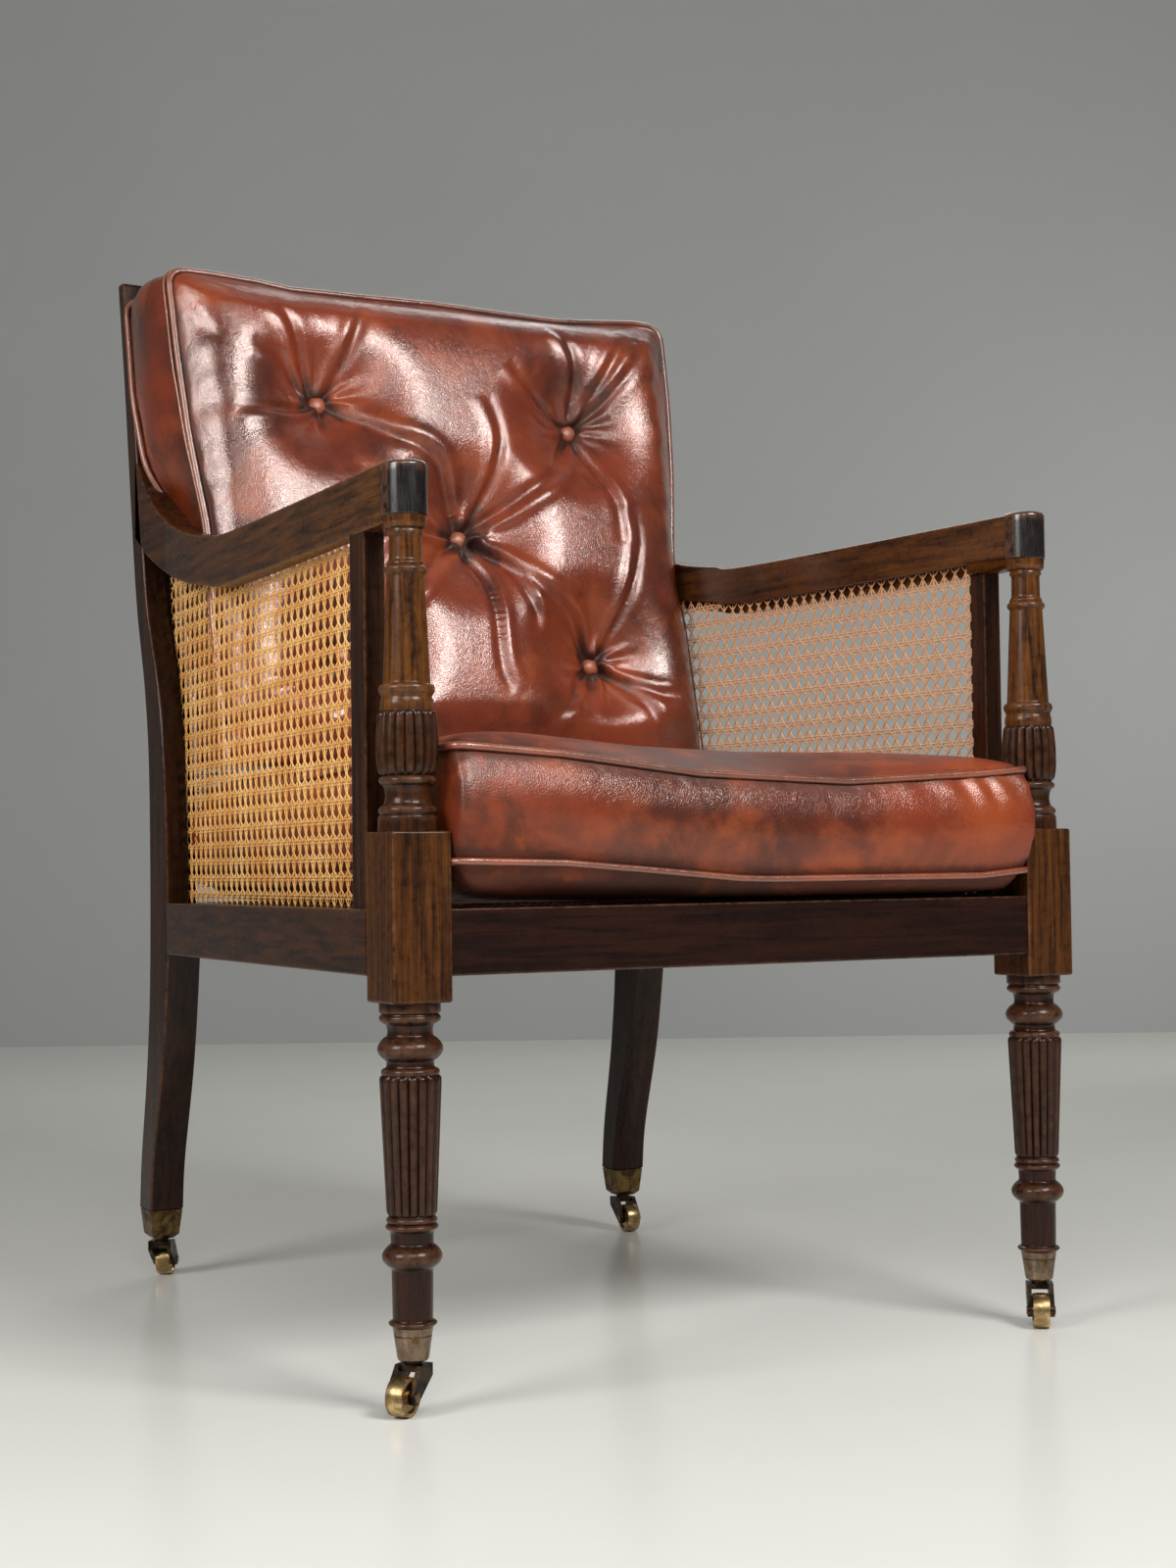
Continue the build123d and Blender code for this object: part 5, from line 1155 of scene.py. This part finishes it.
# Adds a modifier and makes its result the piece's mesh.
def applied(piece, kind, **settings):
    made = piece.modifiers.new(kind.lower(), kind)
    for key, value in settings.items():
        setattr(made, key, value)
    graph = bpy.context.evaluated_depsgraph_get()
    mesh = bpy.data.meshes.new_from_object(piece.evaluated_get(graph))
    piece.modifiers.clear()
    old = piece.data
    piece.data = mesh
    bpy.data.meshes.remove(old)
    mesh.shade_smooth()


clothPlan = {"pressure": 4.0, "quality": 4, "frames": 20, "held": 1.4, "heldReach": 5.0}


# Blows the pad up as cloth with pressure, holding the pinned points, and keeps each point within most
# millimetres of where it started: most times the hyperbolic tangent of its way over most.
def swell(piece, pins, start, most):
    group = piece.vertex_groups.new(name="held")
    for weight in np.unique(np.round(pins, 2)):
        if weight > 0:
            group.add(np.flatnonzero(np.round(pins, 2) == weight).tolist(), float(weight), "REPLACE")
    made = piece.modifiers.new("cloth", "CLOTH")
    settings, frames, scene = made.settings, clothPlan["frames"], bpy.context.scene
    settings.use_pressure = True
    settings.uniform_pressure_force = clothPlan["pressure"]
    settings.vertex_group_mass = "held"
    settings.effector_weights.gravity = 0.0
    settings.quality = clothPlan["quality"]
    made.point_cache.frame_start, made.point_cache.frame_end = 1, frames
    for at in range(1, frames + 1):
        scene.frame_set(at)
    graph = bpy.context.evaluated_depsgraph_get()
    swollen = placesOf(piece.evaluated_get(graph).to_mesh())
    piece.modifiers.clear()
    piece.vertex_groups.clear()
    scene.frame_set(1)
    step = swollen - start
    far = np.linalg.norm(step, axis=1)
    share = most * np.tanh(far / most) / np.maximum(far, 1e-6)
    putPlaces(piece.data, start + step * share[:, None])


# Distance from each point to the nearest point of the seam loops.
def seamDistance(points, loops):
    nearest = np.full(len(points), 1e6)
    for loop in loops:
        for chunk in np.array_split(np.arange(len(points)), 16):
            gap = np.linalg.norm(points[chunk][:, None, :] - loop[None, :, :], axis=2).min(1)
            nearest[chunk] = np.minimum(nearest[chunk], gap)
    return nearest


# A cushion's leather: even faces, swollen between its seams and what else is held, then smoothed.
def padPiece(name, base, plan, seams, held):
    piece = makePiece(name, [base])
    applied(piece, "REMESH", mode="VOXEL", voxel_size=plan["voxel"] / perMetre)
    start = placesOf(piece.data)
    pins = np.clip(clothPlan["held"] - seamDistance(start, seams) / clothPlan["heldReach"], 0, 1)
    swell(piece, np.maximum(pins, held(start)), start, plan["most"])
    applied(piece, "SUBSURF", levels=1, render_levels=1)
    return piece


seamPlan = {"points": 420, "out": 1.8, "shadeAndSmudge": 0.8, "cordSides": 12}


def backSeam(reach, out):
    loop = evenly(backLoop(reach, -out), seamPlan["points"])
    return onCushion(*backWarp(*loop.T, np.full(len(loop), reach)))


def seatSeam(z):
    loop = evenly(seatLoop(-seamPlan["out"]), seamPlan["points"])
    return seatWarp(np.column_stack([loop, np.full(len(loop), z)]))


# A round cord along a closed loop: its ring turns with the way along and the way out.
def pipingShell(loop, radius, crestWearAndSheen):
    way = unit(np.roll(loop, -1, axis=0) - np.roll(loop, 1, axis=0))
    out = loop - loop.mean(0)
    out = unit(out - (out * way).sum(1)[:, None] * way)
    theta = around(seamPlan["cordSides"])
    rings = loop[:, None, :] + radius * (np.cos(theta)[None, :, None] * out[:, None, :]
                                         + np.sin(theta)[None, :, None] * np.cross(way, out)[:, None, :])
    # The outer crest is tan through the wear attribute: partly wear, partly a painted highlight.
    shell = ringShell(rings, np.clip(np.cos(theta) * crestWearAndSheen, 0, 1), closed=True)
    shell["amber"] = 0.0
    return shell


# Piping or buttons, in hide without painted shade.
def trim(name, shells, finish, body, node):
    piece = makePiece(name, shells)
    setAttribute(piece.data, "shadeAndSmudge", 0)
    dress(piece, finishes[finish], body, "trim_leather", node)


# The seat cushion: matt on its crown and under its front, with painted shade along its seams and under its
# front, and painted darkening at its left front corner for the reflection of the dark post. A crumple of
# small waves runs along its right front edge.
def seatCushion():
    plan, crumple = seatPlan, crumplePlan
    seams = [seatSeam(plan["lowSeam"]), seatSeam(plan["highSeam"])]
    piece = padPiece("seat_cushion_leather", seatBase(), plan, seams,
                     lambda points: (points[:, 2] < plan["deck"] + 3) * 1.0)
    points = placesOf(piece.data)
    points[:, 2] = np.maximum(points[:, 2], plan["deck"])
    x, y, z = points.T
    waves = np.sin(x / crumple["wave"] + crumple["sway"] * np.sin(x / crumple["swayWave"])
                   + z / crumple["climb"])
    points[:, 1] -= crumple["depth"] * waves * bell(z - crumple["z"], crumple["reach"]) * (
        fade(x, 110, 190) * fade(-y, 300, 340))
    putPlaces(piece.data, points)
    lie = normalsOf(piece.data)[:, 2]
    setAttribute(piece.data, "amber", 0.8 * fade(lie, 0.5, 0.9) + 0.55 * fade(-lie, -0.02, 0.25))
    # Painted shade: darker beside the seams and where the leather faces down.
    shadeAndSmudge = seamPlan["shadeAndSmudge"] * bell(seamDistance(points, seams), plan["shadeReach"]) + fade(-lie, 0.35, 0.8)
    # Painted reflection of the dark front post: darker at the left front corner.
    shadeAndSmudge += 0.5 * fade(-points[:, 0], 130, 250) * fade(-points[:, 1], 300, 345)
    setAttribute(piece.data, "shadeAndSmudge", np.clip(shadeAndSmudge, 0, 1))
    setAttribute(piece.data, "wear", 0)
    dress(piece, finishes["seatLeather"], "seat_cushion", "cushion_leather", "seat_cushion")
    trim("seat_cushion_welts", [pipingShell(loop, plan["cord"], plan["cordWearAndSheen"]) for loop in seams],
         "brownPiping", "seat_cushion", "seat_cushion_piping")


# Buttons and folds of the back cushion, as (u, v) on its face
buttonPlaces = [(-128, 339), (143, 334), (5, 211), (134, 87), (-130, 88)]
foldLines = [
    [(-128, 339), (-137, 347), (-148, 377), (-159, 411), (-176, 432)],
    [(-128, 339), (-115, 357), (-95, 398), (-79, 436)],
    [(-128, 339), (-107, 327), (-71, 303), (-29, 284), (-13, 254), (5, 211)],
    [(-128, 339), (-127, 318), (-122, 291), (-110, 262)],
    [(-128, 339), (-147, 343), (-167, 371), (-200, 387)],
    [(-128, 339), (-150, 330), (-185, 322), (-222, 318)],
    [(143, 334), (144, 350), (147, 392), (139, 424), (128, 443)],
    [(143, 334), (154, 347), (182, 391), (212, 440)],
    [(143, 334), (163, 348), (194, 380), (231, 421)],
    [(143, 334), (127, 312), (106, 278), (69, 252), (28, 226), (5, 211)],
    [(143, 334), (145, 318), (158, 282), (169, 243), (168, 203)],
    [(143, 334), (120, 345), (90, 366), (66, 392)],
    [(5, 211), (19, 233), (38, 273), (46, 313), (36, 352)],
    [(5, 211), (7, 190), (19, 156), (17, 80), (25, 46)],
    [(5, 211), (32, 191), (68, 158), (106, 129), (123, 99), (134, 87)],
    [(5, 211), (39, 184), (61, 135), (62, 108)],
    [(5, 211), (-24, 188), (-62, 152), (-104, 112), (-130, 88)],
    [(5, 211), (-34, 214), (-78, 208), (-112, 192)],
    [(134, 87), (150, 111), (175, 164), (189, 212), (183, 248)],
    [(134, 87), (115, 72), (94, 44), (56, 10)],
    [(134, 87), (127, 68), (111, 33)],
    [(134, 87), (148, 73), (178, 43), (189, 6)],
    [(134, 87), (157, 73), (189, 54), (218, 51)],
    [(-130, 88), (-112, 70), (-92, 40), (-60, 10)],
    [(-130, 88), (-140, 70), (-152, 40), (-160, 8)],
    [(-130, 88), (-152, 108), (-176, 150), (-190, 196)],
    [(-130, 88), (-158, 76), (-192, 60), (-222, 54)],
]
foldPlan = {"depth": 4.8, "ridge": 2.5, "near": 2.9, "far": 6.6, "shadeAndSmudge": 0.42, "lopsided": 0.8,
            "samples": 48, "start": 0.08, "joined": 0.6, "fall": 0.55, "ridgeAt": 1.9, "ridgeWidth": 1.2,
            "shadeWidth": 1.3}
tuftPlan = {"pit": 5.0, "pitReach": 14.0, "pitPower": 1.4, "dish": 21.0, "dishReach": 50.0, "puff": 9.0,
            "pucker": 1.2, "puckers": 13, "puckerTwist": 0.05, "shadeAndSmudge": 0.75, "shadeReach": 21.0}
gatherPlan = {"depth": 2.2, "wave": 7.5, "swayWave": 31.0, "group": 23.0, "inset": 20.0, "reach": 13.0}


# Distance from each point to a smooth line, the share along it, and which side the point is on.
def nearness(u, v, line):
    curve = smoothCurve(line, foldPlan["samples"])
    du, dv = u[:, None] - curve[None, :, 0], v[:, None] - curve[None, :, 1]
    far = du**2 + dv**2
    at = far.argmin(1)
    way = np.gradient(curve, axis=0)[at]
    rows = np.arange(len(u))
    which = np.sign(way[:, 0] * dv[rows, at] - way[:, 1] * du[rows, at])
    return np.sqrt(far[rows, at]), at / (len(curve) - 1), which


# Moves the cushion's face: each button draws a steep pit in a wide dish, its edges gather in small waves,
# and each fold is a valley with a soft ridge on each side, narrow and deep at its button and wide and
# shallow at its end. Returns the moved points and the painted shade there, dark round the buttons' pits and
# along the folds' valleys.
def tuftAndFold(points):
    tuft, fold, gather = tuftPlan, foldPlan, gatherPlan
    u, v, n = cushionPlace(points)
    face = fade(n, backCushion["highSeam"] - 6, backCushion["highSeam"] + 6)
    inset = np.minimum.reduce([backCushion["high"] - np.abs(u), v, backCushion["height"] - v])
    out, shadeAndSmudge = np.zeros(len(points)), np.zeros(len(points))
    nearest = np.full(len(points), 1e3)
    for bu, bv in buttonPlaces:
        r = np.hypot(u - bu, v - bv)
        nearest = np.minimum(nearest, r)
        out -= tuft["pit"] * bell(r, tuft["pitReach"], tuft["pitPower"])
        out -= tuft["dish"] * bell(r, tuft["dishReach"])
        turn = tuft["puckers"] * np.arctan2(v - bv, u - bu) + tuft["puckerTwist"] * r
        out += tuft["pucker"] * np.sin(turn) * (fade(r, 8, 20) * fade(-r, -58, -22))
        # Painted shade in and round the button's pit.
        shadeAndSmudge += tuft["shadeAndSmudge"] * bell(r, tuft["shadeReach"])
    out += tuft["puff"] * fade(nearest, 30, 100)
    out += gather["depth"] * np.sin(v / gather["wave"] + np.sin(u / gather["swayWave"])) * (
        np.sin(v / gather["group"])) * bell(inset - gather["inset"], gather["reach"]) * fade(v, 60, 140)
    for line in foldLines:
        far, share, which = nearness(u, v, line)
        if tuple(line[-1]) in buttonPlaces:  # a fold from button to button is deep at both ends
            fall = fold["joined"] + (1 - fold["joined"]) * np.abs(2 * share - 1)
            width = fold["near"] + (fold["far"] - fold["near"]) * np.sin(math.pi * share)
        else:
            fall = (1 - share) ** fold["fall"]
            width = fold["near"] + (fold["far"] - fold["near"]) * share
        ridge = bell(far - fold["ridgeAt"] * width, fold["ridgeWidth"] * width)
        out += fade(share, 0, fold["start"]) * fall * (
            -fold["depth"] * bell(far, width) + fold["ridge"] * ridge * (1 + fold["lopsided"] * which))
        # Painted shade along the fold's valley.
        shadeAndSmudge += fold["shadeAndSmudge"] * fall * bell(far, fold["shadeWidth"] * width)
    return points + np.outer(out * face * fade(inset, 4, 40), cushionOut), np.clip(shadeAndSmudge, 0, 1) * face


buttonPlan = {"radius": 9.4, "rise": 6.4, "columns": 28, "under": 1.0, "wear": (0.1, 0.7)}


# A covered button: a low dome on a rounded rim.
def buttonShell(u, v, n):
    radius, rise, columns = buttonPlan["radius"], buttonPlan["rise"], buttonPlan["columns"]
    profile = [(radius * 0.7, -2.2), (radius * 0.96, -1.2)]
    profile += [(radius * math.cos(a) ** 0.8, rise * math.sin(a))
                for a in np.linspace(0, math.pi / 2, 9)[:-1]]
    profile += [(0.4, rise + 0.02)]
    theta = around(columns)
    rings = [onCushion(u + r * np.cos(theta), v + r * np.sin(theta), np.full(columns, n + h))
             for r, h in profile]
    return ringShell(np.array(rings), np.linspace(*buttonPlan["wear"], len(rings))[:, None])


# The back cushion with its piping, an inner row of stitching on its boxing, and its buttons.
def backCushionPiece():
    plan = backCushion
    seams = [backSeam(plan[seam], seamPlan["out"]) for seam in ("lowSeam", "highSeam")]

    def held(points):
        u, v, n = cushionPlace(points)
        pins = (n < 4) * 1.0
        for bu, bv in buttonPlaces:
            pins = np.maximum(pins, np.clip(1.5 - np.hypot(u - bu, v - bv) / 10, 0, 1) * (n > 60))
        return pins

    piece = padPiece("back_cushion_leather", backBase(), plan, seams, held)
    moved, shadeAndSmudge = tuftAndFold(placesOf(piece.data))
    moved[:, 2] = np.maximum(moved[:, 2], plan["cut"])
    putPlaces(piece.data, moved)
    # Painted shade beside the seams.
    shadeAndSmudge += seamPlan["shadeAndSmudge"] * bell(seamDistance(moved, seams), plan["shadeReach"])
    setAttribute(piece.data, "shadeAndSmudge", np.clip(shadeAndSmudge, 0, 1))
    setAttribute(piece.data, "wear", 0)
    dress(piece, finishes["leather"], "back_cushion", "cushion_leather", "back_cushion")
    cords = []
    for loop, radius in zip(seams + [backSeam(plan["highSeam"] - 7.0, 2.6)], (3.3, 3.3, 1.9)):
        z = np.maximum(loop[:, 2], plan["cut"] + plan["cordLift"])
        cords.append(pipingShell(np.column_stack([loop[:, :2], z]), radius, plan["cordWearAndSheen"]))
    trim("back_cushion_welts", cords, "darkPiping", "back_cushion", "back_cushion_piping")
    u, v, n = cushionPlace(moved)
    buttons = [buttonShell(bu, bv, n[(np.hypot(u - bu, v - bv) < 6) & (n > 60)].mean() + buttonPlan["under"])
               for bu, bv in buttonPlaces]
    trim("covered_buttons", buttons, "piping", "back_cushion", "back_cushion_buttons")


seatCushion()
print("seat cushion made")
backCushionPiece()
print("back cushion made")


# Casters keep their CAD shapes and get their metals
casterMetals = {"caster_cup_front": "bronzeCups", "caster_cup_back": "brassCups",
                "caster_horn": "bronzeHorns", "caster_wheel": "wheelBrass", "caster": "smallBrass"}
for node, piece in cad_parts.items():
    metals = [metal for start, metal in casterMetals.items() if node.startswith(start)]
    if metals or "screw" in node:
        piece.data.materials.clear()
        piece.data.materials.append(finishes[(metals + ["smallBrass"])[0]])
print("casters dressed")


# Stage, lights and camera
cameraPlan = {"place": (-0.98067, -1.81419, 0.38174), "yaw": 29.598, "pitch": 2.0696, "roll": -0.7429,
              "lens": 52.86, "sensor": 36.0, "near": 0.05, "far": 60.0}
stagePlan = {"reach": 14.0, "tall": 7.0, "wallDistance": 5.12}
lampPlan = {
    "frontLamp": {"place": (0.5, -2.4, 2.3), "target": (0, 0, 0.6), "size": (1.2, 0.85), "power": 70},
    "keyLamp": {"place": (-2.6, -0.7, 1.7), "target": (0, 0, 0.5), "size": (1.1, 1.1), "power": 46},
    "floorLamp": {"place": (-0.9, -1.6, 1.5), "target": (-0.8, -1.2, 0), "size": (0.8, 0.6), "power": 12},
    "wallLamp": {"place": (2.3, 0.9, 0.9), "target": (3.0, 3.2, 0.7), "size": (0.8, 0.8), "power": 4},
    "highLamp": {"place": (0.5, 0.8, 3.0), "target": (1.6, 2.8, 1.2), "size": (1.0, 1.0), "power": 2},
    "rimLamp": {"place": (1.2, 2.0, 2.2), "target": (0, 0, 0.6), "size": (1.6, 0.8), "power": 12},
}


# The camera's right, up and forward from its yaw, pitch and roll.
def cameraWays():
    yaw, pitch, roll = (math.radians(cameraPlan[k]) for k in ("yaw", "pitch", "roll"))
    forward = np.array([math.sin(yaw) * math.cos(pitch), math.cos(yaw) * math.cos(pitch), math.sin(pitch)])
    right = np.array([math.cos(yaw), -math.sin(yaw), 0.0])
    up = np.cross(right, forward)
    return (right * math.cos(roll) + up * math.sin(roll), -right * math.sin(roll) + up * math.cos(roll),
            forward)


# Puts a camera or a lamp at its place, turned to its ways.
def aimed(thing, right, up, back, place):
    matrix = np.eye(4)
    matrix[:3] = np.column_stack([right, up, back, place])
    thing.matrix_world = Matrix(matrix.tolist())


def makeCamera():
    plan, (right, up, forward) = cameraPlan, cameraWays()
    camera = placed("camera", bpy.data.cameras.new("camera"))
    camera.data.lens, camera.data.sensor_width = plan["lens"], plan["sensor"]
    camera.data.clip_start, camera.data.clip_end = plan["near"], plan["far"]
    aimed(camera, right, up, -forward, plan["place"])
    bpy.context.scene.camera = camera


def stageMaterial(name, colour, rough, speck):
    material, tree, surface = newMaterial(name, Specular_IOR_Level=0.35)
    tone = ramp(tree, noiseAt(tree, objectPlace(tree), 1.4, 4.0, 0.6), 0.3, 0.7, 1 - speck, 1.0)
    scaled = put(tree, "VectorMath", {0: tuple(colour[:3]), "Scale": tone}, operation="SCALE")
    join(tree, surface, Base_Color=scaled.outputs["Vector"])
    surface.inputs["Roughness"].default_value = rough
    return material


def flatSheet(name, corners, material):
    mesh = bpy.data.meshes.new(name)
    mesh.from_pydata([tuple(float(x) for x in c) for c in corners], [], [(0, 1, 2, 3)])
    mesh.materials.append(material)
    placed(name, mesh)


# A pale floor, and a grey wall across the camera's view.
def makeStage():
    reach = stagePlan["reach"]
    flatSheet("floor", [(-reach, -reach, 0), (reach, -reach, 0), (reach, reach, 0), (-reach, reach, 0)],
              stageMaterial("paleFloor", rgb(232, 231, 224), 0.22, 0.05))
    yaw = math.radians(cameraPlan["yaw"])
    ahead = np.array([math.sin(yaw), math.cos(yaw), 0.0])
    along = np.array([ahead[1], -ahead[0], 0.0]) * reach
    foot = np.array([*cameraPlan["place"][:2], 0.0]) + ahead * stagePlan["wallDistance"]
    up = np.array([0, 0, stagePlan["tall"]])
    flatSheet("wall", [foot - along, foot + along, foot + along + up, foot - along + up],
              stageMaterial("greyWall", rgb(168, 169, 167), 0.8, 0.04))


# A soft lamp at a place, aimed at a target.
def areaLamp(name, place, target, size, power):
    lamp = placed(name, bpy.data.lights.new(name, "AREA"))
    lamp.data.shape, lamp.data.size, lamp.data.size_y = "RECTANGLE", *size
    lamp.data.energy = power
    back = unit(np.array(place, float) - np.array(target, float))
    right = unit(np.cross([0, 0, 1.0], back))
    aimed(lamp, right, np.cross(back, right), back, place)


def makeLights():
    world = bpy.data.worlds.new("world")
    world.use_nodes = True
    bpy.context.scene.world = world
    background = world.node_tree.nodes["Background"]
    background.inputs["Color"].default_value = rgb(232, 232, 230)
    background.inputs["Strength"].default_value = 0.17
    for name, lamp in lampPlan.items():
        areaLamp(name, **lamp)


makeCamera()
makeStage()
makeLights()
bpy.context.scene.view_settings.view_transform = "Standard"
print("stage made")
